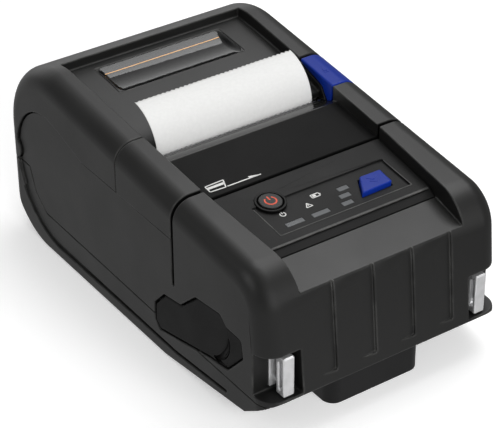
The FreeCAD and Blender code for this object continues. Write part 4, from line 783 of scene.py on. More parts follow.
@dataclass(frozen=True)
class Rows:
    """Rows of one small solid, in millimetres and degrees."""

    unit: Unit
    finish: Finish
    start: Point
    size: Point
    count: int = 1
    step: Point = (0.0, 0.0, 0.0)
    rows: int = 1
    row_step: Point = (0.0, 0.0, 0.0)
    turn: Point = (0.0, 0.0, 0.0)

    def tree(self) -> Tree:
        """Find the Geometry Nodes tree of the unit, or build it on first use.

        Returns:
            The tree.
        """
        name = "rows_of_" + self.unit.name.lower()
        found = bpy.data.node_groups.get(name)
        if found:
            return found
        tree = bpy.data.node_groups.new(name, "GeometryNodeTree")
        tree.is_modifier = True
        add_sockets(tree, ROW_INPUTS, ROW_INPUTS[:1])
        wires = Wires(tree)
        start = wires.add("NodeGroupInput").outputs
        line = wires.add("GeometryNodeMeshLine", {
            "Count": start["Count"], "Offset": start["Step"], "Start Location": start["Start"]})
        rows = wires.add("GeometryNodeMeshLine", {"Count": start["Rows"], "Offset": start["Row Step"]})
        spots = self.repeat(wires, {"Points": line.outputs["Mesh"], "Instance": rows.outputs["Mesh"]})
        solids = self.repeat(wires, {"Points": spots, "Instance": self.unit.add_to(wires),
                                     "Rotation": start["Turn"], "Scale": start["Size"]})
        dressed = wires.add("GeometryNodeSetMaterial", {"Geometry": solids, "Material": start["Finish"]})
        both = wires.add("GeometryNodeJoinGeometry", {"Geometry": start["Geometry"]})
        wires.join(dressed.outputs["Geometry"], both.inputs["Geometry"])
        wires.add("NodeGroupOutput", {"Geometry": both.outputs["Geometry"]})
        return tree

    def repeat(self, wires: Wires, inputs: dict[str, Socket]) -> Socket:
        """Set one mesh on every point of another, and return the result as plain mesh."""
        copies = wires.add("GeometryNodeInstanceOnPoints", inputs).outputs["Instances"]
        return wires.add("GeometryNodeRealizeInstances", {"Geometry": copies}).outputs["Geometry"]

    def add_to(self, piece: Piece) -> None:
        """Add the rows to a piece as a modifier.

        Args:
            piece: The piece.
        """
        modifier = piece.modifiers.new("rows", "NODES")
        modifier.node_group = self.tree()
        values = {"Count": self.count, "Step": mm(*self.step), "Rows": self.rows,
                  "Row Step": mm(*self.row_step), "Start": mm(*self.start), "Size": mm(*self.size),
                  "Turn": [math.radians(angle) for angle in self.turn], "Finish": self.finish.material()}
        for item in modifier.node_group.interface.items_tree:
            if item.in_out == "INPUT" and item.name in values:
                modifier[item.identifier] = values[item.name]


def row_piece(name: str, *rows: Rows) -> Piece:
    """Make one plain piece out of rows of small solids.

    Args:
        name: The piece's name.
        rows: The rows.

    Returns:
        The new piece.
    """
    piece = add_piece(name, bpy.data.meshes.new(name))
    for row in rows:
        row.add_to(piece)
    return settle(piece)


def flat_piece(name: str, outlines: Sequence[Outline], spot: Callable[[float, float, float], Vector],
               level: float, thick: float = 0.02) -> Piece:
    """Make a thin flat piece, such as print, on a face.

    Args:
        name: The piece's name.
        outlines: Closed outlines of its areas, counter-clockwise, in millimetres.
        spot: Gives the place for two coordinates on the face and a height over it.
        level: Height over the face where it starts.
        thick: Its thickness.

    Returns:
        The new piece.
    """
    shape = bmesh.new()
    for outline in outlines:
        top = [shape.verts.new(spot(x, y, level + thick)) for x, y in outline]
        low = [shape.verts.new(spot(x, y, level)) for x, y in outline]
        shape.faces.new(top)
        shape.faces.new(list(reversed(low)))
        count = len(outline)
        for number in range(count):
            following = (number + 1) % count
            shape.faces.new((top[following], top[number], low[number], low[following]))
    bmesh.ops.recalc_face_normals(shape, faces=shape.faces)
    return piece_of(name, shape)


def sheet_piece(name: str, grid: Sequence[Sequence[Vector]], thick: float, offset: float) -> Piece:
    """Make a sheet of even thickness.

    Args:
        name: The piece's name.
        grid: Rows of points on the sheet.
        thick: Its thickness in millimetres.
        offset: The side of the points it lies on, from -1 to 1.

    Returns:
        The new piece.
    """
    shape = bmesh.new()
    lines = [[shape.verts.new(point) for point in row] for row in grid]
    for line, following in zip(lines, lines[1:]):
        for column in range(len(line) - 1):
            corners = (line[column], line[column + 1], following[column + 1], following[column])
            shape.faces.new(corners).smooth = True
    piece = piece_of(name, shape)
    solid = piece.modifiers.new("thickness", "SOLIDIFY")
    solid.thickness = thick * MM
    solid.offset = offset
    return settle(piece)


def band(path: Outline, width: float) -> list[Outline]:
    """Return the pieces of a line of even width along a path.

    Args:
        path: The points of its middle.
        width: Its width.

    Returns:
        One outline for each run.
    """
    outlines = []
    for start, end in zip(path, path[1:]):
        run = Vector(end) - Vector(start)
        side = Vector((-run.y, run.x)).normalized() * (width / 2.0)
        corners = (Vector(start) - side, Vector(end) - side, Vector(end) + side, Vector(start) + side)
        outlines.append([tuple(corner) for corner in corners])
    return outlines


@dataclass
class Casing:
    """Upper case, bottom case and the rubber connector cover."""

    edges: Rounding = Rounding()
    flap_edges: Rounding = Rounding(0.8, 4)
    half: float = 43.0
    notch: Flat = (-46.6, 24.0)
    notch_radius: float = 7.6
    notch_depth: float = 0.9
    notch_start: float = 160.0
    notch_turn: float = 105.0
    notch_tip: float = 0.1
    notch_width: float = 1.7
    notch_steps: int = 14
    lean: float = 0.7
    lean_run: Flat = (12.0, 33.0)
    flap_thick: float = 1.6

    def build(self) -> None:
        """Build the casing's pieces."""
        for node in ("upper_case", "bottom_case"):
            shell = self.edges.copy_of(node, node + "_shell")
            place(shell, Finishes.CASE, Body.CASE, "case_black", node)
        notch = flat_piece("pull_notch", [self.crescent()], self.side, -self.notch_depth,
                           2 * self.notch_depth)
        cover = self.flap_edges.copy_of("connector_cover", "connector_flap", notch)
        self.lean_in(cover)
        place(cover, Finishes.RUBBER, Body.COVER, "rubber_black", "connector_cover")

    def lean_in(self, cover: Piece) -> None:
        """Let the outer face of the flap lean into its opening towards the top.

        Args:
            cover: The flap.
        """
        low, high = self.lean_run
        for vert in cover.data.vertices:
            x, _, z = vert.co / MM
            out = clamp((-self.half + self.flap_thick - x) / self.flap_thick)
            vert.co.x += self.lean * out * clamp((z - low) / (high - low)) * MM

    def side(self, y: float, z: float, lift: float) -> Vector:
        """Return a place in metres from Y, Z and a distance out of the left side in millimetres."""
        return mm(-self.half - lift, y, z)

    def crescent(self) -> Outline:
        """Draw the notch that a fingernail pulls the flap by.

        Returns:
            Its outline.
        """
        outer = []
        inner = []
        for number in range(self.notch_steps + 1):
            share = number / self.notch_steps
            turn = math.radians(self.notch_start + self.notch_turn * share)
            reach = self.notch_radius - self.notch_tip - self.notch_width * math.sin(math.pi * share)
            outer.append(around(self.notch, self.notch_radius, turn))
            inner.append(around(self.notch, reach, turn))
        return outer + inner[::-1]


@dataclass
class Lid:
    """Lid and the lever that opens it."""

    edges: Rounding = Rounding(0.45, 3)
    lever_edges: Rounding = Rounding(0.6, 3)
    mark: Flat = (35.7, 6.5)
    mark_half: float = 0.8
    mark_rise: float = 1.6
    bar_drop: float = 0.7
    bar_width: float = 0.5

    def build(self) -> None:
        """Build the lid's pieces."""
        shell = self.edges.copy_of("lid", "lid_shell")
        place(shell, Finishes.CASE, Body.LID, "case_black", "lid")
        lever = self.lever_edges.copy_of("open_lever", "lever_cap")
        place(lever, Finishes.BLUE, Body.LEVER, "key_blue", "open_lever")
        mark = flat_piece("lever_mark", self.mark_outlines(), RAIL.spot, -MARK_SINK, MARK_THICK)
        place(mark, Finishes.BLUE, Body.LEVER, "key_blue")

    def mark_outlines(self) -> list[Outline]:
        """Draw the opening sign, a wedge over a bar.

        Returns:
            Its outlines.
        """
        x, y = self.mark
        left, right = x - self.mark_half, x + self.mark_half
        wedge = [(left, y), (right, y), (x, y + self.mark_rise)]
        return [wedge] + band(((left, y - self.bar_drop), (right, y - self.bar_drop)), self.bar_width)


@dataclass
class Lens:
    """The dished, smoked window in the lid, with an amber line that paints a reflection in it, and fillings
    in the corners.
    """

    half: float = 23.35
    front: float = 33.65
    rear: float = 48.35
    corner: float = 2.75
    gap: float = 0.15
    frame_drop: float = 0.08
    frame_thick: float = 1.2
    rim: float = 0.15
    depth: float = 1.25
    side_run: float = 2.2
    thick: float = 0.9
    lid_start: Flat = (5.4, 55.5)
    lid_end: Flat = (52.0, 62.0)
    lid_crown: float = 230.0
    line_y: float = 45.4
    line_half: float = 21.6
    line_width: float = 0.3
    line_level: Flat = (0.01, 0.04)
    line_steps: int = 12
    corner_steps: int = 10
    rows: int = 48
    columns: int = 80

    def build(self) -> None:
        """Build the lens, its painted reflection line and its corners."""
        place(self.pane(), Finishes.WINDOW, Body.LID, "clear_window", "lid_window")
        # The amber line paints a reflection along the lens.
        path = [(-self.line_half + 2 * self.line_half * number / self.line_steps, self.line_y)
                for number in range(self.line_steps + 1)]
        line = flat_piece("lens_reflection_line", band(path, self.line_width), self.spot, *self.line_level)
        place(line, Finishes.AMBER_REFLECTION, Body.LID, "clear_window")
        corners = flat_piece("lens_corners", self.corner_outlines(), self.over_lid,
                             -self.frame_drop - self.frame_thick, self.frame_thick)
        place(corners, Finishes.CASE, Body.LID, "case_black")

    def corner_outlines(self) -> list[Outline]:
        """Draw the four fillings that round the corners of the opening.

        Returns:
            Their outlines.
        """
        radius = self.corner + self.gap
        outlines = []
        for side in (-1.0, 1.0):
            for edge, way in ((self.front - self.gap, 1.0), (self.rear + self.gap, -1.0)):
                x = side * (self.half + self.gap)
                outline = [(x, edge)]
                for number in range(self.corner_steps + 1):
                    turn = 0.5 * math.pi * number / self.corner_steps
                    outline.append((x - side * radius * (1.0 - math.cos(turn)),
                                    edge + way * radius * (1.0 - math.sin(turn))))
                outlines.append(outline)
        return outlines

    def over_lid(self, x: float, y: float, lift: float) -> Vector:
        """Return a place in metres from X, Y and a height over the lid in millimetres."""
        return mm(x, y, self.level(y) + lift)

    def level(self, y: float) -> float:
        """Find the height of the lid.

        Args:
            y: Place along the lid in millimetres.

        Returns:
            The height in millimetres.
        """
        run = self.lid_end[0] - self.lid_start[0]
        share = (y - self.lid_start[0]) / run
        chord = self.lid_start[1] + (self.lid_end[1] - self.lid_start[1]) * share
        return chord + run * run * share * (1.0 - share) / (2.0 * self.lid_crown)

    def spot(self, x: float, y: float, lift: float) -> Vector:
        """Return a place over the dished surface.

        Args:
            x: Place across the lid in millimetres.
            y: Place along the lid.
            lift: Height over the surface.

        Returns:
            The place in metres.
        """
        across = (2.0 * y - self.front - self.rear) / (self.rear - self.front)
        part = clamp((self.half - abs(x)) / self.side_run)
        share = part * part * (3.0 - 2.0 * part) * (1.0 - across ** 2)
        return mm(x, y, self.level(y) - self.rim - self.depth * share + lift)

    def reach(self, y: float) -> float:
        """Return half the width of the lens at a place along it, less in its round corners."""
        edge = min(self.rear - y, y - self.front, self.corner)
        return self.half - self.corner + math.sqrt(self.corner ** 2 - (self.corner - edge) ** 2)

    def pane(self) -> Piece:
        """Make the pane.

        Returns:
            The new piece.
        """
        grid = []
        for row in range(self.rows + 1):
            y = self.front + (self.rear - self.front) * (0.5 - 0.5 * math.cos(math.pi * row / self.rows))
            half = self.reach(y)
            grid.append([self.spot(-half * math.cos(math.pi * column / self.columns), y, 0.0)
                         for column in range(self.columns + 1)])
        return sheet_piece("lens_pane", grid, self.thick, -1.0)


@dataclass
class MiddleCover:
    """Cover between lid and card slot, with the tear bar and the card sign."""

    edges: Rounding = Rounding(0.3, 2)
    bar_edges: Rounding = Rounding(0.12, 2)
    card: tuple[Flat, ...] = ((-27.3, -22.6), (-22.0, -22.9), (-20.8, -19.6), (-27.3, -19.8))
    stripe: tuple[Flat, ...] = ((-27.2, -21.0), (-21.4, -21.0))
    arrow: tuple[Flat, ...] = ((-21.4, -22.8), (-9.5, -22.9))
    arrow_head: Flat = (4.0, 1.0)
    line: float = 0.4
    stripe_line: float = 1.0
    fall_start: float = -4.4
    fall_angle: float = 17.7
    fall_match: float = 0.998
    rail_in: float = 32.2
    teeth: int = 36
    teeth_start: Point = (-30.7, 3.15, 54.0)
    teeth_step: float = 1.754
    tooth: Point = (1.0, 1.6, 0.2)

    def build(self) -> None:
        """Build the cover's pieces."""
        cover = self.edges.copy_of("middle_cover", "middle_shell")
        dress(cover, Finishes.PANEL)
        self.polish(cover)
        place(cover, None, Body.CASE, "panel_black", "middle_cover")
        teeth = row_piece("tear_teeth", Rows(
            Unit.WEDGE, Finishes.STEEL, self.teeth_start, self.tooth, self.teeth, (self.teeth_step, 0.0, 0.0),
            turn=(0.0, self.fall_angle, 90.0)))
        place(teeth, None, Body.CASE, "steel")
        bar = self.bar_edges.copy_of("tear_bar", "tear_edge")
        place(bar, Finishes.BAR, Body.CASE, "panel_black", "tear_bar")
        sign = flat_piece("card_sign", self.sign_outlines(), DECK.spot, 0.0)
        place(sign, Finishes.WHITE_INK, Body.CASE, "paper")

    def polish(self, cover: Piece) -> None:
        """Give the face that falls to the paper exit its gloss, and the rails the finish of the case.

        Args:
            cover: The cover.
        """
        cover.data.materials.append(Finishes.BAR.material())
        cover.data.materials.append(Finishes.CASE.material())
        gloss_slot, rail_slot = 1, 2
        turn = math.radians(self.fall_angle)
        way = Vector((0.0, math.sin(turn), math.cos(turn)))
        for face in cover.data.polygons:
            if abs(face.center.x) > self.rail_in * MM:
                face.material_index = rail_slot
            elif face.normal.dot(way) > self.fall_match and face.center.y > self.fall_start * MM:
                face.material_index = gloss_slot

    def sign_outlines(self) -> list[Outline]:
        """Draw the card and the arrow.

        Returns:
            Their outlines.
        """
        outlines = band((*self.card, self.card[0]), self.line)
        outlines += band(self.stripe, self.stripe_line)
        outlines += band(self.arrow, self.line)
        tip = self.arrow[1]
        length, high = self.arrow_head
        outlines.append([tip, (tip[0] - length, tip[1] + high), (tip[0] - length, tip[1])])
        return outlines


@dataclass
class ControlPanel:
    """Panel with its lights and the two buttons."""

    edges: Rounding = Rounding(0.16, 2, 18.0)
    ridge_steps: int = 3
    key_proud: float = 0.5
    power: Flat = (-14.8, -35.4)
    sign_radius: float = 1.75
    sign_line: float = 0.5
    power_gap: float = 38.0
    power_steps: int = 28
    power_dash: Flat = (0.2, 1.2)
    field_depth: float = 0.6
    power_spot: Flat = (-14.6, -41.4)
    power_radius: float = 0.85
    warning_spot: Flat = (-5.7, -41.6)
    warning_size: Point = (1.1, 0.85, 0.95)
    warning_dash: float = 0.35
    battery_spot: Flat = (-1.2, -38.9)
    battery_size: Flat = (1.4, 0.7)
    battery_tip: Flat = (1.85, 0.6)
    battery_fill: Point = (1.0, 0.2, 0.8)
    print_line: float = 0.32
    feed: Flat = (17.2, -43.2)
    chevron: Point = (1.7, 0.8, 0.5)
    chevron_line: float = 0.5
    chevron_shifts: Flat = (-0.6, 0.9)
    lip: tuple[Flat, ...] = ((-21.3, -36.0), (-21.3, -49.8), (26.2, -49.8), (26.2, -36.0))
    lip_size: Flat = (0.35, 0.1)
    bead: tuple[Flat, ...] = ((-29.3, -53.6), (29.3, -53.6))
    bead_size: Flat = (0.9, 0.22)

    def build(self) -> None:
        """Build the panel's pieces."""
        panel = self.edges.copy_of("control_panel", "panel_shell", merged=False)
        place(panel, Finishes.FIELD, Body.CASE, "case_black", "control_panel")
        ridges = (("field_lip", self.lip, self.lip_size), ("panel_bead", self.bead, self.bead_size))
        for name, path, (width, high) in ridges:
            ridge = flat_piece(name, band(path, width), DECK.spot, -MARK_SINK, high + MARK_SINK)
            place(Rounding(high, self.ridge_steps).shaped(ridge), Finishes.CASE, Body.CASE, "case_black")
        keys = (("power_button", "power_cap", Finishes.GLOSS, Body.POWER_KEY, "button_black", (0.35, 4)),
                ("power_ring", "power_rim", Finishes.RING, Body.CASE, "button_black", (0.2, 3)),
                ("feed_button", "feed_cap", Finishes.BLUE, Body.FEED_KEY, "key_blue", (0.5, 3)),
                ("status_lights", "status_windows", Finishes.LIGHT, Body.CASE, "light_window", (0.12, 2)))
        for node, name, finish, body, slot, edges in keys:
            place(Rounding(*edges).copy_of(node, name), finish, body, slot, node)
        sign = flat_piece("power_sign", self.power_outlines(self.power, self.sign_radius, self.sign_line),
                          DECK.spot, self.key_proud)
        place(sign, Finishes.RED_INK, Body.POWER_KEY, "key_blue")
        print_work = flat_piece("light_signs", self.light_outlines(), DECK.spot, -self.field_depth)
        place(print_work, Finishes.WHITE_INK, Body.CASE, "paper")
        mark = flat_piece("feed_mark", self.chevron_outlines(), DECK.spot, 2 * self.key_proud - MARK_SINK,
                          MARK_THICK)
        place(mark, Finishes.BLUE, Body.FEED_KEY, "key_blue")

    def chevron_outlines(self) -> list[Outline]:
        """Draw the two chevrons on the feed key.

        Returns:
            Their outlines.
        """
        x, y = self.feed
        half, rise, dip = self.chevron
        outlines = []
        for shift in self.chevron_shifts:
            path = ((x - half, y + shift + rise), (x, y + shift - dip), (x + half, y + shift + rise))
            outlines += band(path, self.chevron_line)
        return outlines

    def light_outlines(self) -> list[Outline]:
        """Draw the power, warning and battery signs beside the lights.

        Returns:
            Their outlines.
        """
        outlines = self.power_outlines(self.power_spot, self.power_radius, self.print_line)
        x, y = self.warning_spot
        half, fall, rise = self.warning_size
        corners = ((x - half, y - fall), (x + half, y - fall), (x, y + rise))
        outlines += band((*corners, corners[0]), self.print_line)
        outlines += band(((x, y - self.warning_dash), (x, y + self.warning_dash)), self.print_line)
        x, y = self.battery_spot
        half, high = self.battery_size
        corners = ((x - half, y - high), (x + half, y - high), (x + half, y + high), (x - half, y + high))
        outlines += band((*corners, corners[0]), self.print_line)
        reach, thick = self.battery_tip
        outlines += band(((x + half, y), (x + reach, y)), thick)
        left, right, thick = self.battery_fill
        outlines += band(((x - left, y), (x + right, y)), thick)
        return outlines

    def power_outlines(self, spot: Flat, radius: float, line: float) -> list[Outline]:
        """Return the outlines of the standard power sign.

        Args:
            spot: Its middle on the deck.
            radius: Radius of its ring.
            line: Width of its lines.

        Returns:
            The outlines.
        """
        x, y = spot
        gap = math.radians(self.power_gap)
        start, run = math.pi / 2 + gap, 2 * math.pi - 2 * gap
        path = [around(spot, radius, start + run * number / self.power_steps)
                for number in range(self.power_steps + 1)]
        low, high = self.power_dash
        return band(path, line) + band(((x, y + radius * low), (x, y + radius * high)), line)


@dataclass
class StrapLoops:
    """The two chrome loops for a carrying strap."""

    ring_edges: Rounding = Rounding(0.6, 5, 20.0)
    foot_edges: Rounding = Rounding(0.3, 3, 20.0)
    middle: Point = (35.0, -71.1, 21.75)
    ring: Point = (3.9, 3.9, 13.7)
    eye: Flat = (1.3, 9.6)
    plate: Point = (2.9, 1.1, 11.0)
    plate_spot: Flat = (36.4, -66.9)
    stud: Point = (1.5, 1.5, 3.6)
    stud_back: float = 3.3
    rise: float = 4.2

    def build(self) -> None:
        """Build both loops."""
        chrome = Finishes.CHROME
        for side, sign in (("left", -1.0), ("right", 1.0)):
            x, y, z = self.middle
            spot = (x * sign, y, z)
            ring = row_piece("ring_block", Rows(Unit.CUBE, chrome, spot, self.ring))
            eye = row_piece("ring_eye", Rows(Unit.CUBE, chrome, spot, (self.ring[0] * 2, *self.eye)))
            loop = self.ring_edges.shaped(ring, eye)
            loop.name = "strap_ring_" + side
            place(loop, chrome, Body.CASE, "chrome", "strap_loop_" + side)
            foot = self.foot_edges.shaped(row_piece(
                "strap_foot_" + side,
                Rows(Unit.CUBE, chrome, (self.plate_spot[0] * sign, self.plate_spot[1], z), self.plate),
                Rows(Unit.ROD, chrome, (x * sign, y + self.stud_back, z - self.rise), self.stud, rows=2,
                     row_step=(0.0, 0.0, 2 * self.rise), turn=(90.0, 0.0, 0.0))))
            place(foot, None, Body.CASE, "chrome")


@dataclass
class Paper:
    """The paper strip that stands out of the printer."""

    half: float = 28.75
    plumb_y: float = 3.9
    low: float = 47.4
    turn_z: float = 53.4
    curl: float = 13.5
    angle: float = 84.0
    thick: float = 0.1
    tooth: float = 1.6
    tear: float = 0.55
    bites: tuple[float, ...] = (0.0, 0.55, 1.0, 0.45)
    drift: Point = (0.7, 0.3, 1.7)
    rows: int = 40

    def build(self) -> None:
        """Build the strip."""
        place(self.strip(), Finishes.PAPER, Body.LID, "paper", "paper_strip")

    def spot(self, way: float) -> Flat:
        """Return height and depth of the strip at a length from its low end.

        Args:
            way: Length along the strip in millimetres.

        Returns:
            Place along Y and Z.
        """
        upright = self.turn_z - self.low
        if way < upright:
            return self.plumb_y, self.low + way
        turn = (way - upright) / self.curl
        centre = self.plumb_y + self.curl
        return centre - self.curl * math.cos(turn), self.turn_z + self.curl * math.sin(turn)

    def strip(self) -> Piece:
        """Make the curled strip with its torn end.

        Returns:
            The new piece.
        """
        full = self.turn_z - self.low + self.curl * math.radians(self.angle)
        columns = int(self.half * 2 / self.tooth) * len(self.bites)
        base, sway, pace = self.drift
        grid = []
        for row in range(self.rows + 1):
            line = []
            for column in range(columns + 1):
                x = -self.half + 2 * self.half * column / columns
                bite = self.tear * self.bites[column % len(self.bites)]
                end = full - bite * (base + sway * math.sin(column * pace))
                line.append(mm(x, *self.spot(end * row / self.rows)))
            grid.append(line)
        return sheet_piece("receipt_strip", grid, self.thick, 0.0)


@dataclass(frozen=True)
class ScrewSet:
    """Four steel screws that stand in a rectangle, with their cross recesses."""

    node: str
    first: Point
    apart: Flat
    recess: Point
    head_edges: Rounding = Rounding(0.12, 2)
    cross_edges: Rounding = Rounding(0.02, 1)

    def build(self) -> None:
        """Build the screws."""
        length, width, depth = self.recess
        along, across = [row_piece("cross_cutter", Rows(
            Unit.CUBE, Finishes.STEEL, self.first, size, 2, (self.apart[0], 0.0, 0.0), 2,
            (0.0, self.apart[1], 0.0))) for size in ((length, width, depth), (width, length, depth))]
        screws = self.head_edges.copy_of(self.node, self.node + "_turned", along)
        self.cross_edges.shaped(screws, across)
        place(screws, Finishes.STEEL, Body.CASE, "steel", self.node)


@dataclass
class SmallWorks:
    """Screws, contact pins and the parts on the main board."""

    screws: tuple[ScrewSet, ...] = (
        ScrewSet("case_screws", (-35.5, -56.0, 7.6), (71.0, 80.0), (2.6, 0.6, 1.4)),
        ScrewSet("board_screws", (-14.0, -54.0, 18.8), (28.0, 34.0), (2.2, 0.5, 1.0)),
        ScrewSet("frame_screws", (-26.0, -5.0, 19.4), (52.0, 16.0), (2.2, 0.5, 1.0)))
    pin: Point = (5.0, 0.4, 0.12)
    pin_step: Point = (0.0, 0.8, 0.0)
    pin_rows: tuple[tuple[Point, int], ...] = (((-35.6, -45.1, 19.86), 5), ((-35.6, -33.6, 19.86), 10))
    board_parts: tuple[Rows, ...] = (
        Rows(Unit.CUBE, Finishes.SWITCH, (-2.0, -38.0, BOARD_TOP + 0.75), (10.0, 10.0, 1.3)),
        Rows(Unit.CUBE, Finishes.SWITCH, (16.0, -40.0, BOARD_TOP + 0.65), (6.0, 8.0, 1.1), rows=2,
             row_step=(0.0, 10.5, 0.0)),
        Rows(Unit.CUBE, Finishes.STEEL, (-6.2, -43.6, BOARD_TOP + 0.2), (0.35, 1.2, 0.25), 12,
             (0.76, 0.0, 0.0), 2, (0.0, 11.2, 0.0)),
        Rows(Unit.CUBE, Finishes.STEEL, (12.4, -43.0, BOARD_TOP + 0.2), (1.2, 0.4, 0.25), 2,
             (7.2, 0.0, 0.0), 6, (0.0, 1.2, 0.0)),
        Rows(Unit.CUBE, Finishes.CORE, (-20.0, -58.0, BOARD_TOP + 0.3), (1.6, 0.8, 0.6), 14,
             (3.0, 0.0, 0.0)),
        Rows(Unit.ROD, Finishes.ALUMINIUM, (24.0, -52.0, BOARD_TOP + 3.0), (5.0, 5.0, 6.0), rows=3,
             row_step=(0.0, 6.5, 0.0)))

    def build(self) -> None:
        """Build the small pieces."""
        for screws in self.screws:
            screws.build()
        pins = row_piece("socket_pins", *(
            Rows(Unit.CUBE, Finishes.BRASS, start, self.pin, count, self.pin_step)
            for start, count in self.pin_rows))
        place(pins, None, Body.CASE, "steel")
        parts = row_piece("board_parts", *self.board_parts)
        place(parts, None, Body.CASE, "board_green")


@dataclass
class Works:
    """Nodes that keep their shape, and the head springs, which give way to the head in the printer; here they
    are a rounded copy with a mesh of their own.
    """

    spring_edges: Rounding = Rounding(0.03, 1)
    spring_seat: Point = (0.0, -4.6, 44.5)
    spring_keep: float = 0.9
    finishes: dict[str, Finish] = field(default_factory=lambda: {
        "hinge_pin": Finishes.STEEL, "panel_board": Finishes.BOARD,
        "key_switches": Finishes.SWITCH, "feet": Finishes.RUBBER, "battery_pack": Finishes.BATTERY,
        "battery_contacts": Finishes.BRASS, "main_board": Finishes.BOARD, "usb_socket": Finishes.STEEL,
        "serial_socket": Finishes.STEEL, "lever_pin": Finishes.STEEL, "lever_spring": Finishes.STEEL,
        "platen_roller": Finishes.ROLLER, "platen_shaft": Finishes.STEEL, "platen_bushes": Finishes.SWITCH,
        "platen_gear": Finishes.GEAR, "idler_gear": Finishes.GEAR, "motor_pinion": Finishes.BRASS,
        "mechanism_frame": Finishes.STEEL, "gear_post": Finishes.STEEL, "stepper_motor": Finishes.STEEL,
        "motor_shaft": Finishes.STEEL, "thermal_head": Finishes.CERAMIC, "heat_sink": Finishes.ALUMINIUM,
        "head_pin": Finishes.STEEL, "paper_bin": Finishes.BIN,
        "paper_roll": Finishes.ROLL, "roll_core": Finishes.CORE, "paper_web": Finishes.PAPER,
        "card_guide": Finishes.BIN, "card_head": Finishes.STEEL, "card_head_spring": Finishes.STEEL})

    def build(self) -> None:
        """Dress the nodes and build the springs."""
        for node, finish in self.finishes.items():
            dress(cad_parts[node], finish)
            LOG.info("node %s in %s", node, finish.name)
        springs = self.spring_edges.copy_of("head_springs", "head_coils")
        place(springs, Finishes.STEEL, Body.CASE, "steel", "head_springs")
        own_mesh(springs)


@dataclass(frozen=True)
class Softbox:
    """A large soft lamp that looks at one spot."""

    name: str
    spot: Point
    size: Flat
    power: float
    mirrored: bool = True
    aim: Point = (0.0, 0.0, 0.03)

    def build(self) -> None:
        """Hang the lamp."""
        lamp = bpy.data.lights.new(self.name, "AREA")
        lamp.shape = "RECTANGLE"
        lamp.size, lamp.size_y = self.size
        lamp.energy = self.power
        holder = bpy.data.objects.new(self.name, lamp)
        turn = (Vector(self.aim) - Vector(self.spot)).to_track_quat("-Z", "Y")
        holder.matrix_world = Matrix.Translation(self.spot) @ turn.to_matrix().to_4x4()
        holder.visible_glossy = self.mirrored
        bpy.context.scene.collection.objects.link(holder)


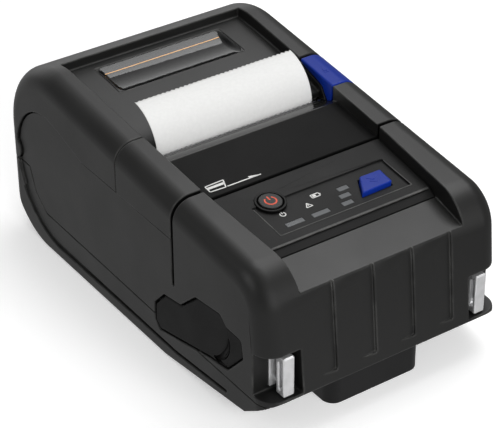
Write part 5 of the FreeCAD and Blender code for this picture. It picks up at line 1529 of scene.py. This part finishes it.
@dataclass
class Studio:
    """Floor, light and camera."""

    azimuth: float = -34.56
    elevation: float = 33.16
    roll: float = -0.31
    spot: Point = (-290.9, -425.5, 361.2)
    lens: float = 141.09
    floor: Colour = (0.86, 0.86, 0.86)
    lift: float = 0.36
    ambient: float = 0.33
    shade: float = 0.15
    shade_right: Flat = (0.5, 0.72)
    shade_left: Flat = (-0.1, -0.45)
    image: Flat = (1.3, 0.4)
    image_rise: Flat = (0.25, 0.8)
    sheen: Flat = (0.42, 0.2)
    sheen_run: Flat = (0.0, 0.12)
    floor_shade: float = 0.995
    floor_patches: float = 3.0
    reach: float = 3.0
    near: float = 0.01
    sensor: float = 36.0
    lamps: tuple[Softbox, ...] = (
        Softbox("softbox_top", (0.35, 0.15, 0.85), (0.7, 0.7), 4.0),
        Softbox("softbox_left", (-0.9, 0.1, 0.6), (0.5, 0.5), 1.3),
        Softbox("softbox_front", (-0.1, -0.95, 0.45), (0.8, 0.6), 7.5, mirrored=False))

    def build(self) -> None:
        """Build the studio."""
        self.lay_floor()
        self.set_world()
        for lamp in self.lamps:
            lamp.build()
        self.set_camera()
        bpy.context.scene.view_settings.view_transform = "Standard"

    def lay_floor(self) -> None:
        """Lay the pale floor, which keeps the printer's shadow and shines less to the right."""
        mesh = bpy.data.meshes.new("floor")
        far = self.reach
        mesh.from_pydata([(-far, -far, 0.0), (far, -far, 0.0), (far, far, 0.0), (-far, far, 0.0)], [],
                         [(0, 1, 2, 3)])
        surface = Surface("floor_pale")
        wires = surface.wires
        path = wires.add("ShaderNodeLightPath").outputs
        pale = wires.mix(wires.patches(self.floor_patches), self.floor, shaded(self.floor, self.floor_shade))
        sheen = wires.spread(wires.parts("ShaderNodeTexCoord", "Object")["X"], self.sheen_run, self.sheen)
        mirror = wires.maths("MULTIPLY", path["Is Glossy Ray"], sheen)
        lit = wires.maths("MULTIPLY", path["Is Camera Ray"], self.lift)
        surface.feed(Base_Color=wires.mix(path["Is Glossy Ray"], pale, (0.0, 0.0, 0.0)), Roughness=0.9,
                     Specular_IOR_Level=0.1, Emission_Color=(1.0, 1.0, 1.0),
                     Emission_Strength=wires.maths("ADD", mirror, lit))
        floor = add_piece("floor", mesh)
        floor.data.materials.append(surface.material)

    def set_world(self) -> None:
        """Set a white backdrop and ambient light.

        In glossy faces the backdrop darkens upwards and to both sides.
        """
        world = bpy.data.worlds.new("backdrop")
        bpy.context.scene.world = world
        world.use_nodes = True
        wires = Wires(world.node_tree)
        back = world.node_tree.nodes["Background"]
        back.inputs["Color"].default_value = (1.0, 1.0, 1.0, 1.0)
        path = wires.add("ShaderNodeLightPath").outputs
        seen = wires.maths("MAXIMUM", path["Is Camera Ray"], path["Is Transmission Ray"])
        level = wires.spread(seen, SHARE, (self.ambient, 1.0))
        way = wires.parts("ShaderNodeTexCoord", "Generated")
        image = wires.spread(way["Z"], self.image_rise, self.image)
        for run in (self.shade_right, self.shade_left):
            image = wires.maths("MULTIPLY", image, wires.spread(way["X"], run, (1.0, self.shade)))
        change = wires.maths("MULTIPLY", path["Is Glossy Ray"], wires.maths("SUBTRACT", image, self.ambient))
        wires.join(wires.maths("ADD", level, change), back.inputs["Strength"])

    def set_camera(self) -> None:
        """Set the camera at the photograph's viewing angle."""
        data = bpy.data.cameras.new("camera")
        data.sensor_fit = "HORIZONTAL"
        data.sensor_width = self.sensor
        data.lens = self.lens
        data.clip_start = self.near
        camera = bpy.data.objects.new("camera", data)
        turn = Matrix.Rotation(math.radians(self.azimuth), 4, "Z")
        turn @= Matrix.Rotation(math.radians(90.0 - self.elevation), 4, "X")
        turn @= Matrix.Rotation(math.radians(self.roll), 4, "Z")
        camera.matrix_world = Matrix.Translation(mm(*self.spot)) @ turn
        bpy.context.scene.collection.objects.link(camera)
        bpy.context.scene.camera = camera


def main() -> None:
    """Build the printer and its studio."""
    logging.basicConfig(level=logging.INFO, format="%(message)s")
    for part in (Casing(), Lid(), Lens(), MiddleCover(), ControlPanel(), StrapLoops(), Paper(),
                 SmallWorks(), Works(), Studio()):
        part.build()
        LOG.info("built %s", type(part).__name__)


if __name__ == "__main__":
    main()
